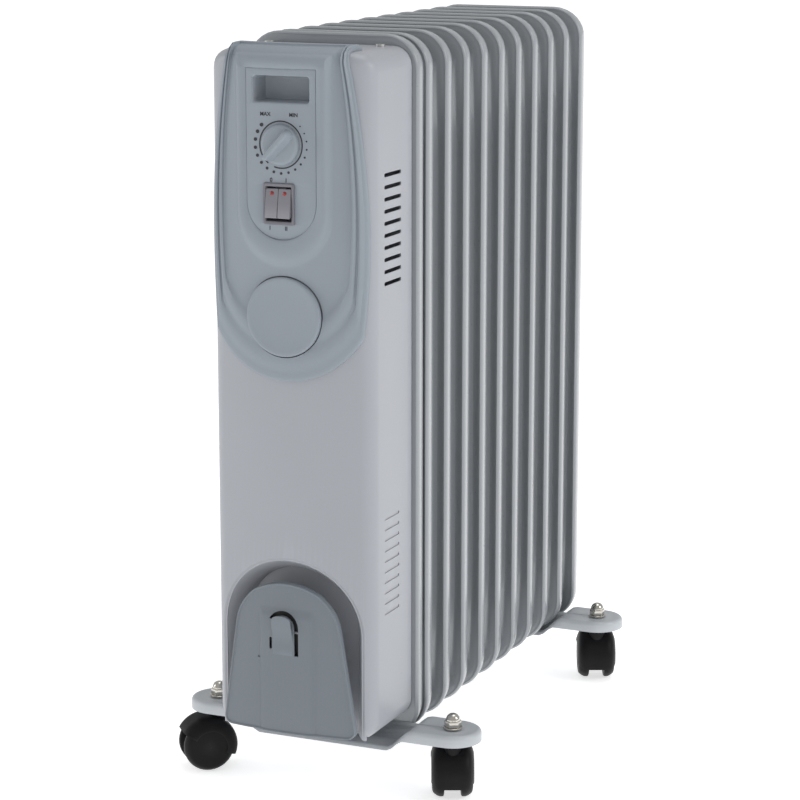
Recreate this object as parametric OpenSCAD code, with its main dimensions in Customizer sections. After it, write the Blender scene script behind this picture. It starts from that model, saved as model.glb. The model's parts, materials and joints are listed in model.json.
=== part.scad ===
// Oil filled radiator heater: ten pressed fins, a control box, two foot brackets and four twin-wheel casters.
// Millimetres, +Z up, control face toward -Y, origin under the middle of the bounding box.

/* [Radiator] */
// Distance from one fin to the next
fin_pitch = 40; // [36:1:50]
// Width of a fin across the heater
fin_w = 152; // [140:1:190]
// Height of a fin
fin_h = 586; // [480:1:720]
// Depth of the lip bent back around each fin
fin_lip = 16; // [12:0.5:17]
// Radius of the fin corners
fin_r = 28; // [22:1:34]

/* [Control box] */
// Width of the control box
box_w = 142; // [128:1:170]
// Depth of the control box from its open back to the crown of its face
box_d = 86; // [76:1:104]
// Distance from the top of the fins down to the top of the box
box_drop = 9; // [4:1:20]
// Bulge of the box face at the middle of its width
box_crown = 8; // [5:0.5:10]

/* [Controls] */
// Diameter of the thermostat dial
dial_d = 33; // [28:1:42]
// Radius of the round cover disc
disc_r = 32; // [24:1:36]
// Width of the rocker switch frame
switch_w = 27; // [24:1:32]
// Height of the rocker switch frame
switch_h = 33; // [28:1:36]

/* [Feet] */
// Distance between the caster stems across the heater
foot_span = 218; // [200:1:260]
// Width of a foot bracket front to back
foot_w = 48; // [42:1:54]
// Diameter of a caster wheel
wheel_d = 44; // [38:1:48]
// Width of one caster wheel
wheel_w = 10.5; // [9:0.5:12.5]

/* [Hidden] */
$fn = 40;
eps = 0.05;
plate_t = 1.2;
sheet_t = 1;
fins = 10;

// Height stations
wheel_r = wheel_d / 2;
hood_top = wheel_d + 11;
pad_z = hood_top + 6;
pad_t = 2;
dip = 16;
fin_z0 = pad_z - dip + pad_t + 1;
top_z = fin_z0 + fin_h;
mid_z = fin_z0 + fin_h / 2;
box_z0 = fin_z0 + 20;
box_z1 = top_z - box_drop;
hub_lo = fin_z0 + 44;
hub_hi = top_z - 44;

// Front to back stations, the whole length centred on the origin
cover_gap = fin_pitch / 2;
knob_out = 20;
length = knob_out + box_d + 1.5 + cover_gap + fin_pitch * (fins - 1) + fin_lip;
y_rear = length / 2;
c1 = y_rear - fin_lip - fin_pitch * (fins - 1);
c0 = c1 - cover_gap;
box_back = c0 - 1.5;
face_y = box_back - box_d;

// Fin details
hub_r = 27;
neck_r = 20;
bore_r = 15;
bulge_f = 4;
bulge_b = 8;
chan_w = 26;
chan_x = fin_w / 2 - 23;

// Control box plan: flat sides, crowned face, corner circles tangent to the crown
corner_r = 15;
crown_r = (pow(box_w / 2 - 10, 2) + pow(box_crown, 2)) / (2 * box_crown);
crown_y = face_y + crown_r;
corner_x = box_w / 2 - corner_r;
corner_y = crown_y - sqrt(pow(crown_r - corner_r, 2) - pow(corner_x, 2));

// Panel stations, measured down from the top of the box
cup_z = box_z1 - 29;
dial_z = box_z1 - 72;
switch_z = box_z1 - 118.5;
insert_z0 = box_z1 - 147;
bezel_z0 = box_z1 - 170;
disc_z = box_z1 - 208.5;
panel_z0 = box_z1 - 261;
switch_x = -2;
insert_w = 60;
bezel_w = 84;
cup_w = 50;
cup_h = 22;
cup_d = 26;
panel_w = box_w - 6;
panel_top_w = box_w - 38;
panel_out = 5;
bezel_out = 8;
insert_y = face_y - 6.4;
disc_y = face_y - 6.5;
badge_t = 3;

// Cord winder
arch_w = 122;
arch_z1 = box_z0 + 148;
plate_w = 118;
plate_top_w = 88;
plate_z1 = box_z0 + 130.5;
plate_z0 = box_z0 + 4;
wind_d = 30;
plate_y = face_y - 6;
chan_half = 23;
post_w = 52;
post_h = 64;

// Feet and casters
foot_half = foot_span / 2;
ends = foot_half + 30;
foot_shift = 11;
foot_yf = c1 - cover_gap / 2 - 1 - foot_shift;
foot_yr = c1 + fin_pitch * (fins - 2) + fin_pitch - 13 - foot_shift;
bolt_x = neck_r + 3.3;
dip_in = fin_w / 2 - min(18, fin_r - 10);
dip_out = dip_in + 18;
rod_r = 3;
skirt = 8;
trail = 12;
web_w = 13;
hood_r = wheel_r + 3.4;
hood_w = web_w + 2 * wheel_w + 2;
axle_r = 2.5;
stem_r = 4;
running = 0.05;

steel = [0.78, 0.79, 0.81];
panel_grey = [0.56, 0.60, 0.65];
dark_grey = [0.42, 0.46, 0.50];
black = [0.09, 0.09, 0.10];
nickel = [0.82, 0.80, 0.76];
red = [0.65, 0.10, 0.08];

// ---------- shared shapes ----------
module rrect(w, h, r) {
    square([w - 2 * r, h], center = true);
    square([w, h - 2 * r], center = true);
    for (x = [-1, 1], y = [-1, 1]) translate([x * (w / 2 - r), y * (h / 2 - r)]) circle(r);
}

module stadium(w, z0, z1) {
    translate([-w / 2, z0 + w / 2]) square([w, z1 - z0 - w]);
    for (z = [z0 + w / 2, z1 - w / 2]) translate([0, z]) circle(w / 2);
}

// Draws a front-view outline (X, Z) and gives it a thickness from y to y + d
module along_y(y, d) {
    translate([0, y + d, 0]) rotate([90, 0, 0]) linear_extrude(d) children();
}

// Draws a side-view outline (Y, Z) and gives it a width from x to x + w
module along_x(x, w) {
    translate([x, 0, 0]) rotate([90, 0, 90]) linear_extrude(w) children();
}

module rod_y(y, d, r) {
    translate([0, y + d, 0]) rotate([90, 0, 0]) cylinder(h = d, r = r);
}

module foot_places() {
    for (y = [foot_yf, foot_yr]) translate([0, y, 0]) children();
}

module stem_places() {
    foot_places() for (x = [-1, 1]) translate([x * foot_half, 0, 0]) children();
}

// ---------- radiator ----------
module fin_outline(inset) {
    translate([0, mid_z]) rrect(fin_w - 2 * inset, fin_h - 2 * inset, fin_r - inset);
}

module fin_tray(y) {
    along_y(y, plate_t) fin_outline(0);
    along_y(y, fin_lip) difference() {
        fin_outline(0);
        fin_outline(plate_t);
    }
}

module fin_channels(inset) {
    for (x = [-chan_x, 0, chan_x])
        translate([x, 0]) stadium(chan_w - 2 * inset, hub_lo - 12 + inset, hub_hi + 12 - inset);
}

module fin_hubs(r) {
    for (z = [hub_lo, hub_hi]) translate([0, z]) circle(r);
}

module fin(k) {
    y = c1 + fin_pitch * (k - 1);
    color(steel) difference() {
        union() {
            fin_tray(y);
            along_y(y - bulge_f, bulge_f + bulge_b) fin_channels(0);
            along_y(y - bulge_f - 1.5, bulge_f + bulge_b + 3) fin_hubs(hub_r);
        }
        along_y(y - bulge_f + plate_t, bulge_f + bulge_b - 2 * plate_t) fin_channels(plate_t);
        along_y(y - bulge_f - 3, bulge_f + bulge_b + 6) fin_hubs(bore_r);
    }
}

module cover_plate() {
    color(steel) difference() {
        fin_tray(c0);
        along_y(c0 - 1, plate_t + 2) translate([0, hub_lo]) circle(bore_r);
        for (x = [-1, 1]) translate([x * bolt_x - 4.5, c0 + plate_t + 2, fin_z0 - 1])
            cube([9, fin_lip, plate_t + 2]);
    }
}

module hub_collars() {
    color(steel) {
        for (k = [1 : fins - 1]) {
            y = c1 + fin_pitch * (k - 1) + bulge_b + 1.5;
            along_y(y, fin_pitch - bulge_f - bulge_b - 3) difference() {
                fin_hubs(neck_r);
                fin_hubs(bore_r);
            }
        }
        along_y(c0 + plate_t, cover_gap - plate_t - bulge_f - 1.5) difference() {
            fin_hubs(neck_r);
            translate([0, hub_lo]) circle(bore_r);
        }
    }
}

// Domed caps that close the oil gallery on the last fin, the lower one with its filling plug
module hub_caps() {
    y = y_rear - fin_lip + bulge_b + 1.5;
    color(steel) for (z = [hub_lo, hub_hi]) translate([0, 0, z]) {
        rod_y(y - 6, 6, bore_r);
        rod_y(y, 2, neck_r);
    }
    color(nickel) translate([0, 0, hub_lo]) rod_y(y + 2, 3, 6);
}

module element_flange() {
    color(nickel) translate([0, 0, hub_lo]) difference() {
        union() {
            translate([0, c0, 0]) rotate([90, 0, 0]) cylinder(h = 7, r = 22, $fn = 6);
            rod_y(c0, plate_t + cover_gap - 8, bore_r);
        }
        for (x = [-8, 8]) translate([x, 0, 0]) rod_y(c0 - 8, cover_gap + 10, 4);
    }
}

// Hairpin tube in the lower gallery, its two cold ends standing out of the flange
module heating_element() {
    y1 = c1 + fin_pitch * (fins - 2);
    color(nickel) {
        for (x = [-8, 8]) translate([x, 0, hub_lo]) rod_y(c0 - 12, y1 - c0 + 12, 4);
        translate([0, y1, hub_lo]) rotate_extrude(angle = 180) translate([8, 0]) circle(4);
        for (x = [-8, 8]) translate([x, 0, hub_lo]) rod_y(c0 - 20, 8, 1.8);
    }
}

// ---------- control box ----------
module box_plan(out) {
    hw = box_w / 2 + out;
    reach = 2 * (crown_y - corner_y + corner_r);
    slope = corner_x / (crown_y - corner_y);
    intersection() {
        translate([0, crown_y]) circle(crown_r + out, $fn = 240);
        polygon([[0, crown_y], [-slope * reach, crown_y - reach], [slope * reach, crown_y - reach]]);
    }
    for (x = [-1, 1]) translate([x * corner_x, corner_y]) circle(corner_r + out);
    translate([-hw, corner_y]) square([2 * hw, box_back - corner_y + out]);
}

module box_front(out) {
    translate([0, (box_z0 + box_z1) / 2]) rrect(box_w + 2 * out, box_z1 - box_z0 + 2 * out, 16 + out);
}

// Side view: the top edge of the face is rounded
module box_side(out) {
    r = 9 + out;
    d = box_d + 2 * out + 40;
    translate([face_y - out, box_z0 - out]) square([d, box_z1 - box_z0 + 2 * out - r]);
    translate([face_y - out + r, box_z0 - out]) square([d - r, box_z1 - box_z0 + 2 * out]);
    translate([face_y - out + r, box_z1 + out - r]) circle(r);
}

module box_solid(out) {
    intersection() {
        translate([0, 0, box_z0 - 20]) linear_extrude(box_z1 - box_z0 + 40) box_plan(out);
        along_y(face_y - 40, box_d + 60) box_front(out);
        along_x(-box_w, 2 * box_w) box_side(out);
    }
}

// Arch of the winder recess, open through the bottom edge of the box
module arch_outline(inset) {
    r = arch_w / 2 - inset;
    translate([0, arch_z1 - inset - r]) circle(r, $fn = 96);
    translate([-r, box_z0 - 5]) square([2 * r, arch_z1 - box_z0 + 5 - inset - r]);
}

module vent_slots(z0, pitch, y0, y1, depth) {
    for (i = [0 : 9], s = [-1, 1])
        translate([s * box_w / 2 - depth, y0, z0 + i * pitch]) cube([2 * depth, y1 - y0, 3.2]);
}

module housing() {
    color(steel) difference() {
        box_solid(0);
        intersection() {
            translate([0, 0, box_z0 - 20]) linear_extrude(box_z1 - box_z0 + 40) box_plan(-sheet_t);
            along_y(face_y - 40, box_d + 60) box_front(-sheet_t);
            along_x(-box_w, 2 * box_w) box_side(-sheet_t);
        }
        translate([0, box_back, box_z0 - 5]) linear_extrude(box_z1 - box_z0 + 10)
            translate([-box_w, 0]) square([2 * box_w, 30]);
        along_y(box_back - 3, 6) translate([0, (box_z0 + box_z1) / 2])
            rrect(box_w - 3.6, box_z1 - box_z0 - 3.6, 14.2);
        along_y(face_y - 5, wind_d + 3.8) arch_outline(0);
        along_y(face_y - 5, 30) translate([-insert_w / 2 + 1, insert_z0 + 8])
            square([insert_w - 2, box_z1 - 16 - insert_z0 - 8]);
        vent_slots(box_z0 + 372, 9.6, box_back - 54, box_back - 21, 4);
        vent_slots(box_z0 + 101.5, 8.8, box_back - 56, box_back - 26, sheet_t / 2);
        translate([-box_w / 2 + 22, box_back - 22, box_z0 - 2]) cylinder(h = 6, r = 7.2);
        for (x = [-1, 1]) translate([x * (box_w / 2 - 22), box_back - 12, box_z1 - 4]) cylinder(h = 8, r = 2.1);
    }
}

// Steel back that closes the box and hooks it to the cover plate
module housing_back() {
    y = box_back - plate_t;
    color(steel) difference() {
        union() {
            along_y(y, plate_t) translate([0, (box_z0 + box_z1) / 2])
                rrect(box_w - 4, box_z1 - box_z0 - 4, 14);
            for (z = [box_z0 + 70, box_z1 - 70], x = [-1, 1]) translate([x * 48, 0, z])
                rod_y(box_back - eps, c0 - box_back + eps, 6);
            translate([-52, y - 24, box_z1 - sheet_t - 2.4]) cube([104, 24 + eps, 2.4]);
        }
        along_y(y - 3, 8) translate([0, hub_lo]) circle(24);
        for (x = [-1, 1]) translate([x * (box_w / 2 - 22), box_back - 12, box_z1 - 6]) cylinder(h = 8, r = 1.5);
    }
}

module housing_screws() {
    color(nickel) {
        for (x = [-1, 1]) translate([x * (box_w / 2 - 22), box_back - 12, box_z1 - 5.4]) {
            cylinder(h = 5.4, r = 1.5);
            translate([0, 0, 5.4]) cylinder(h = 1.8, r = 3.8);
        }
        for (z = [box_z0 + 70, box_z1 - 70], x = [-1, 1]) translate([x * 48, 0, z])
            rod_y(box_back - plate_t - 2.4, 2.4, 4);
    }
}

module panel_outline() {
    r = panel_w / 2 + 5.5;
    side_r = (pow(150, 2) + pow((panel_w - panel_top_w) / 2, 2)) / (panel_w - panel_top_w);
    intersection() {
        union() {
            translate([0, panel_z0 + r]) circle(r, $fn = 120);
            translate([-r, panel_z0 + r]) square([2 * r, box_z1 + 10 - panel_z0 - r]);
        }
        translate([panel_w / 2 - side_r, box_z1 - 150]) circle(side_r, $fn = 360);
        translate([side_r - panel_w / 2, box_z1 - 150]) circle(side_r, $fn = 360);
    }
}

module u_outline(w, z0, z1) {
    translate([0, z0 + w / 2]) circle(w / 2, $fn = 72);
    translate([-w / 2, z0 + w / 2]) square([w, z1 - z0 - w / 2]);
}

module insert_outline(gap) {
    u_outline(insert_w - 2 * gap, insert_z0 + gap, box_z1 - 13 - gap);
}

module control_panel() {
    color(panel_grey) difference() {
        union() {
            intersection() {
                box_solid(panel_out);
                along_y(face_y - 20, 60) panel_outline();
            }
            intersection() {
                box_solid(bezel_out);
                along_y(face_y - 20, 46) u_outline(bezel_w, bezel_z0, box_z1 - 4);
            }
        }
        box_solid(eps);
        along_y(face_y - 20, 40) insert_outline(0);
        along_y(disc_y - 10, 12 + badge_t) translate([0, disc_z]) circle(disc_r + 0.4, $fn = 72);
    }
}

module control_insert() {
    color(panel_grey) difference() {
        along_y(insert_y, 2.6) insert_outline(0.15);
        along_y(insert_y - 1, 6) translate([0, cup_z]) rrect(cup_w, cup_h, 3);
        translate([0, 0, dial_z]) rod_y(insert_y - 1, 6, 5);
        along_y(insert_y - 1, 6) translate([switch_x, switch_z]) square([switch_w - 3, switch_h - 3], center = true);
    }
}

module handle_cup() {
    color(dark_grey) difference() {
        along_y(insert_y + 0.3, cup_d) translate([0, cup_z]) rrect(cup_w - 0.1, cup_h - 0.1, 3);
        along_y(insert_y - 1, cup_d - 0.5) translate([0, cup_z]) rrect(cup_w - 3, cup_h - 3, 2);
    }
}

module cover_disc() {
    color(panel_grey) along_y(disc_y, badge_t + 2) translate([0, disc_z]) circle(disc_r, $fn = 72);
}

// ---------- controls ----------
module dial_knob() {
    color(panel_grey) translate([0, 0, dial_z]) difference() {
        union() {
            rod_y(insert_y - 5, 4.6, dial_d / 2);
            intersection() {
                rod_y(insert_y - 13.6, 9, dial_d / 2 - 1.5);
                rotate([0, 43, 0]) along_y(insert_y - 13.6, 9) rrect(8, dial_d, 3);
            }
        }
        rod_y(insert_y - 7, 9, 3);
    }
}

module thermostat_spindle() {
    color(nickel) translate([0, 0, dial_z]) rod_y(insert_y - 7, 26, 3);
}

module thermostat() {
    y = insert_y + 9;
    color(dark_grey) translate([0, 0, dial_z]) difference() {
        union() {
            translate([-16, y, -14]) cube([32, 20, 26]);
            rod_y(y - 6.4, 6.4, 6.5);
            for (x = [-10, 10]) translate([x - 3, y + 20, -6]) cube([6, 9, 1]);
        }
        rod_y(y - 8, 19, 3 + running);
    }
}

module switch_frame() {
    w = switch_w;
    h = switch_h;
    y = insert_y - 1.6;
    color(dark_grey) difference() {
        union() {
            along_y(y, 1.5) translate([switch_x, switch_z]) rrect(w, h, 1.5);
            along_y(insert_y - 0.2, 20) translate([switch_x, switch_z]) square([w - 3.3, h - 3.3], center = true);
        }
        along_y(y - 1, 14) translate([switch_x, switch_z]) square([w - 5, h - 6], center = true);
        translate([switch_x, insert_y + 4, switch_z]) rotate([0, 90, 0])
            translate([0, 0, -w / 2 + 1.9]) cylinder(h = w - 3.8, r = 1.2 + running);
        for (x = [-4, 4]) translate([switch_x + x - 1.5, insert_y + 19, switch_z - 3]) cube([3, 4, 6]);
    }
}

module rocker_place(s) {
    pw = (switch_w - 5) / 2;
    translate([switch_x + s * pw / 2, insert_y + 4, switch_z]) children();
}

// Rocker with its short pivot pins, sunk at the top and standing out at the bottom
module rocker(s) {
    w = (switch_w - 5) / 2 - 0.5;
    h = switch_h - 8.2;
    color(dark_grey) rocker_place(s) difference() {
        union() {
            rotate([-9, 0, 0]) translate([-w / 2, -6.6, -h / 2]) cube([w, 6.6, h]);
            rotate([0, 90, 0]) translate([0, 0, -w / 2]) cylinder(h = w, r = 1.9);
            rotate([0, 90, 0]) translate([0, 0, s > 0 ? 0 : -w / 2 - 0.7]) cylinder(h = w / 2 + 0.7, r = 1.2);
        }
        rotate([-9, 0, 0]) translate([0, 0, h / 2 - 4.6]) rod_y(-8, 4, 2.2);
    }
}

module rocker_lamp(s) {
    color(red) rocker_place(s) rotate([-9, 0, 0]) translate([0, 0, (switch_h - 8.2) / 2 - 4.6])
        rod_y(-6.9, 2.9, 2.2 - 0.02);
}

module thermal_cutout() {
    z = hub_lo + 62;
    color(dark_grey) translate([0, 0, z]) {
        rod_y(box_back - plate_t - 9, 9, 9);
        translate([-14, box_back - plate_t - 2, -5]) cube([28, 2, 10]);
        for (x = [-5, 5]) translate([x - 2.4, box_back - plate_t - 16, -0.4]) cube([4.8, 7.2, 0.8]);
    }
}

module terminal_block() {
    color([0.85, 0.84, 0.80]) translate([-22, box_back - plate_t - 16, hub_lo + 100]) difference() {
        cube([44, 16, 14]);
        for (i = [0 : 3]) translate([6.5 + i * 10.5, -1, 7]) rotate([-90, 0, 0]) cylinder(h = 9, r = 2.6, $fn = 24);
    }
}

// Cord inlet in the floor of the box; no cord is fitted
module cable_gland() {
    color(black) translate([-box_w / 2 + 22, box_back - 22, box_z0]) difference() {
        union() {
            translate([0, 0, -5]) cylinder(h = 5, r = 9);
            translate([0, 0, -eps]) cylinder(h = sheet_t + 1, r = 7);
            translate([0, 0, sheet_t + 0.1]) cylinder(h = 7, r = 9, $fn = 6);
        }
        translate([0, 0, -7]) cylinder(h = 18, r = 4);
    }
}

module lead(a, b) {
    d = b - a;
    translate(a) {
        rotate([0, acos(d[2] / norm(d)), atan2(d[1], d[0])]) cylinder(h = norm(d), r = 1.5, $fn = 16);
        sphere(r = 1.6, $fn = 16);
    }
}

// Leads from the terminal block to the thermal cut-out, thermostat and switch
module wiring() {
    ty = box_back - plate_t - 12;
    tz = hub_lo + 100;
    color(black) {
        lead([-15.5, ty, tz + 15.7], [-15.5, ty, tz + 60]);
        lead([-15.5, ty, tz + 60], [-30, ty - 6, dial_z - 40]);
        lead([-30, ty - 6, dial_z - 40], [-10, insert_y + 38.5, dial_z - 7]);
        lead([5, ty, tz + 15.7], [8, ty - 4, tz + 80]);
        lead([8, ty - 4, tz + 80], [switch_x + 4, insert_y + 27, switch_z - 4]);
        lead([5, ty - 2.4, hub_lo + 64.1], [5, ty, tz - 0.1]);
        lead([-8, c0 - 19, hub_lo + 3.5], [-5, ty - 2.4, hub_lo + 59.9]);
    }
}

// ---------- cord winder ----------
// Recess behind the winder plate, with the post that carries the plate
module winder_recess() {
    color(steel) {
        difference() {
            intersection() {
                along_y(face_y, wind_d) arch_outline(-1.2);
                translate([0, 0, box_z0 + sheet_t + eps]) linear_extrude(arch_z1) box_plan(-sheet_t - eps);
                along_y(face_y - 1, wind_d + 2) box_front(-sheet_t - eps);
            }
            along_y(face_y - 5, wind_d + 3.8) arch_outline(0.3);
        }
        along_y(plate_y + 3, face_y + wind_d - 0.6 - plate_y - 3) translate([0, box_z0 + 26]) difference() {
            translate([-post_w / 2, 0]) square([post_w, post_h]);
            translate([1.5 - post_w / 2, 1.5]) square([post_w - 3, post_h - 3]);
        }
    }
}

module winder_outline(inset) {
    w0 = plate_w / 2 - inset;
    w1 = plate_top_w / 2 - inset;
    r = plate_top_w / 2 + 12;
    intersection() {
        union() {
            translate([0, plate_z1 - inset - r]) circle(r, $fn = 96);
            translate([-w0, plate_z0 - 1]) square([2 * w0, plate_z1 - plate_z0 + 1 - inset - r]);
        }
        polygon([[-w0, plate_z0 + inset], [w0, plate_z0 + inset], [w1, plate_z1 - 26], [w1 - 12, plate_z1],
                 [12 - w1, plate_z1], [-w1, plate_z1 - 26]]);
    }
}

// Plate that keeps the wound cord in place, with a raised channel and a sprung tongue for the plug end
module winder_plate() {
    tongue_z = plate_z1 - 33;
    color(dark_grey) difference() {
        union() {
            along_y(plate_y, 3) winder_outline(0);
            along_y(plate_y + 0.5, 5) difference() {
                winder_outline(0);
                winder_outline(2.2);
            }
            along_y(plate_y - 1.6, 3) translate([-chan_half, plate_z0])
                square([2 * chan_half, tongue_z + 14 - plate_z0]);
        }
        along_y(plate_y - 3, 8) difference() {
            union() {
                translate([0, tongue_z]) circle(12.5);
                translate([-12.5, tongue_z - 24]) square([25, 24]);
            }
            translate([0, tongue_z]) circle(9);
            translate([-9, tongue_z - 26]) square([18, 26]);
        }
    }
}

// ---------- feet and casters ----------
module foot_line() {
    z1 = pad_z + pad_t;
    z0 = z1 - dip;
    low = -skirt - pad_t;
    polygon([[-ends, z1], [-dip_out, z1], [-dip_in, z0], [dip_in, z0], [dip_out, z1], [ends, z1],
             [ends, z1 + low], [dip_out, z1 + low], [dip_in, z0 + low],
             [-dip_in, z0 + low], [-dip_out, z1 + low], [-ends, z1 + low]]);
}

module foot_plan(inset) {
    r = foot_w / 2 - inset;
    square([foot_span, 2 * r], center = true);
    for (x = [-1, 1]) translate([x * foot_half, 0]) circle(r, $fn = 56);
}

module foot_bracket() {
    color(steel) difference() {
        intersection() {
            along_y(-foot_w, 2 * foot_w) foot_line();
            linear_extrude(pad_z + 20) foot_plan(0);
        }
        intersection() {
            along_y(-foot_w, 2 * foot_w) polygon([[-ends, 0], [-ends, pad_z], [-dip_out, pad_z],
                [-dip_in, pad_z - dip], [dip_in, pad_z - dip], [dip_out, pad_z], [ends, pad_z], [ends, 0]]);
            linear_extrude(pad_z + 20) foot_plan(pad_t);
        }
        for (x = [-1, 1]) translate([x * foot_half, 0, pad_z - 2]) cylinder(h = 8, r = stem_r);
        for (x = [-1, 1]) translate([x * bolt_x, foot_shift, pad_z - dip - 2]) cylinder(h = 8, r = rod_r + 0.3);
    }
}

// U-bolt over each lower collar, its legs through the bracket
module u_bolts() {
    color(nickel) foot_places() translate([0, foot_shift, hub_lo]) {
        rotate([90, 0, 0]) rotate_extrude(angle = 180) translate([bolt_x, 0]) circle(rod_r);
        for (x = [-1, 1]) translate([x * bolt_x, 0, 0]) mirror([0, 0, 1])
            cylinder(h = hub_lo - pad_z + dip + 13, r = rod_r);
    }
}

module wing_nuts() {
    z = pad_z - dip;
    color(nickel) foot_places() for (x = [-1, 1]) translate([x * bolt_x, foot_shift, z - 7]) difference() {
        union() {
            cylinder(h = 7, r = 6);
            translate([-14, -1, -2.4]) cube([28, 2, 7]);
        }
        translate([0, 0, -4]) cylinder(h = 14, r = rod_r);
    }
}

module caster_stems() {
    color(nickel) stem_places() {
        translate([0, 0, hood_top - 12]) cylinder(h = pad_z + pad_t + 9 - hood_top + 12, r = stem_r);
        translate([0, 0, hood_top + 0.3]) cylinder(h = pad_z - hood_top - 0.3, r = 7.5);
    }
}

module washers() {
    color(nickel) stem_places() translate([0, 0, pad_z + pad_t]) difference() {
        cylinder(h = 1.4, r = 8);
        translate([0, 0, -1]) cylinder(h = 4, r = stem_r);
    }
}

module cap_nuts() {
    z = pad_z + pad_t + 1.4;
    color(nickel) stem_places() translate([0, 0, z]) difference() {
        union() {
            cylinder(h = 5.5, r = 7.4, $fn = 6);
            intersection() {
                translate([0, 0, 5.5]) sphere(r = 6.2);
                translate([0, 0, 5.4]) cylinder(h = 10, r = 7);
            }
        }
        translate([0, 0, -1]) cylinder(h = 8.6, r = stem_r);
    }
}

// Swivel places: front left, front right, rear left, rear right, each with its resting heading
casters = [[-1, 0, 41], [1, 0, -66], [-1, 1, -114], [1, 1, -66]];

module caster_place(n) {
    c = casters[n];
    translate([c[0] * foot_half, c[1] ? foot_yr : foot_yf, 0]) rotate([0, 0, c[2]]) children();
}

module caster_hood(n) {
    color(black) caster_place(n) difference() {
        union() {
            translate([-trail, 0, wheel_r]) rod_y(-hood_w / 2, hood_w, hood_r);
            translate([0, 0, wheel_r]) cylinder(h = hood_top - wheel_r, r = 9);
        }
        for (s = [-1, 1]) translate([-trail, 0, wheel_r])
            rod_y(s > 0 ? web_w / 2 : -hood_w / 2 - 1, hood_w / 2 - web_w / 2 + 1, wheel_r + 1);
        translate([-trail - 60, -hood_w, -20]) cube([120, 2 * hood_w, 28]);
        translate([-trail - 60, -hood_w, -20]) cube([60 - wheel_r * 0.45, 2 * hood_w, wheel_r + 16]);
        translate([0, 0, hood_top - 12.5]) cylinder(h = 20, r = stem_r + running);
        translate([-trail, 0, wheel_r]) rod_y(-hood_w, 2 * hood_w, axle_r);
    }
}

module caster_axle(n) {
    color(nickel) caster_place(n) translate([-trail, 0, wheel_r]) rod_y(4 - hood_w / 2, hood_w - 8, axle_r);
}

module caster_wheel(n, s) {
    y = s > 0 ? web_w / 2 + 0.5 : -web_w / 2 - 0.5 - wheel_w;
    color(black) caster_place(n) translate([-trail, 0, wheel_r]) difference() {
        union() {
            rod_y(y + 1.2, wheel_w - 2.4, wheel_r);
            rod_y(y, wheel_w, wheel_r - 1.2);
        }
        rod_y(s > 0 ? y - 1 : y + 3, wheel_w - 2, axle_r + running);
    }
}

cover_plate();
fin(1);  // fin_01
fin(2);  // fin_02
fin(3);  // fin_03
fin(4);  // fin_04
fin(5);  // fin_05
fin(6);  // fin_06
fin(7);  // fin_07
fin(8);  // fin_08
fin(9);  // fin_09
fin(10);  // fin_10
hub_collars();
hub_caps();
element_flange();
heating_element();
housing();
housing_back();
housing_screws();
control_panel();
control_insert();
handle_cup();
cover_disc();
dial_knob();
thermostat_spindle();
thermostat();
switch_frame();
rocker(-1);  // rocker_left
rocker(1);  // rocker_right
rocker_lamp(-1);  // lamp_left
rocker_lamp(1);  // lamp_right
thermal_cutout();
terminal_block();
cable_gland();
wiring();
winder_recess();
winder_plate();
translate([0, foot_yf, 0]) foot_bracket();  // foot_front
translate([0, foot_yr, 0]) foot_bracket();  // foot_rear
u_bolts();
wing_nuts();
caster_stems();
washers();
cap_nuts();
caster_hood(0);  // hood_fl
caster_hood(1);  // hood_fr
caster_hood(2);  // hood_rl
caster_hood(3);  // hood_rr
caster_axle(0);  // axle_fl
caster_axle(1);  // axle_fr
caster_axle(2);  // axle_rl
caster_axle(3);  // axle_rr
caster_wheel(0, -1);  // wheel_fl_in
caster_wheel(0, 1);  // wheel_fl_out
caster_wheel(1, -1);  // wheel_fr_in
caster_wheel(1, 1);  // wheel_fr_out
caster_wheel(2, -1);  // wheel_rl_in
caster_wheel(2, 1);  // wheel_rl_out
caster_wheel(3, -1);  // wheel_rr_in
caster_wheel(3, 1);  // wheel_rr_out
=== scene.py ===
# %% [markdown]
# # An oil filled radiator heater, piece by piece
# The solids in the frame give every size and every joint. Each cell below dresses one real piece:
# pressed steel fins, an enamelled box, a moulded control panel, a cord winder, feet and casters.
# Lengths are in metres; helpers take millimetres, because a maker's drawing does.

# %% The frame
import bpy
import bmesh
import json
import math
from mathutils import Matrix, Vector

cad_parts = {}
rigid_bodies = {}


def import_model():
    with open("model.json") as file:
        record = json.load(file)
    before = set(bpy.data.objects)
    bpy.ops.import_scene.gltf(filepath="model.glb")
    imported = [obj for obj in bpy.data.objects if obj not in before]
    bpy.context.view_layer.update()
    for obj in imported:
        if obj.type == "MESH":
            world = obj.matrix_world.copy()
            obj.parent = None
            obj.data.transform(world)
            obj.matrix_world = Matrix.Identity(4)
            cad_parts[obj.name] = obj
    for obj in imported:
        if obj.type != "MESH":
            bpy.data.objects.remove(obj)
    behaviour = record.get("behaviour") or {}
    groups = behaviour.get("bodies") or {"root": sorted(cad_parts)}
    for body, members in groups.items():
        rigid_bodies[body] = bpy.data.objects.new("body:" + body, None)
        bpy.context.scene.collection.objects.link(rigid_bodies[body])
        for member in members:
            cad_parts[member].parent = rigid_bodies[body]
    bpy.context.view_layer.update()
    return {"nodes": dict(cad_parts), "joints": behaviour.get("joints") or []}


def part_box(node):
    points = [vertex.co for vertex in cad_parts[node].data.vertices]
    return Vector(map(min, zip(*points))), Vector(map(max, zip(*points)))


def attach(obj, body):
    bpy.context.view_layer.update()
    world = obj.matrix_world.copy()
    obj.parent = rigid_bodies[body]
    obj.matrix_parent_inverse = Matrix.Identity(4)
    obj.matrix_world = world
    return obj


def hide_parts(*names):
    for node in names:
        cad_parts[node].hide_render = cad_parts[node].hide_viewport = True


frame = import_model()
MM = 0.001
BODY = "heater"
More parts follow.
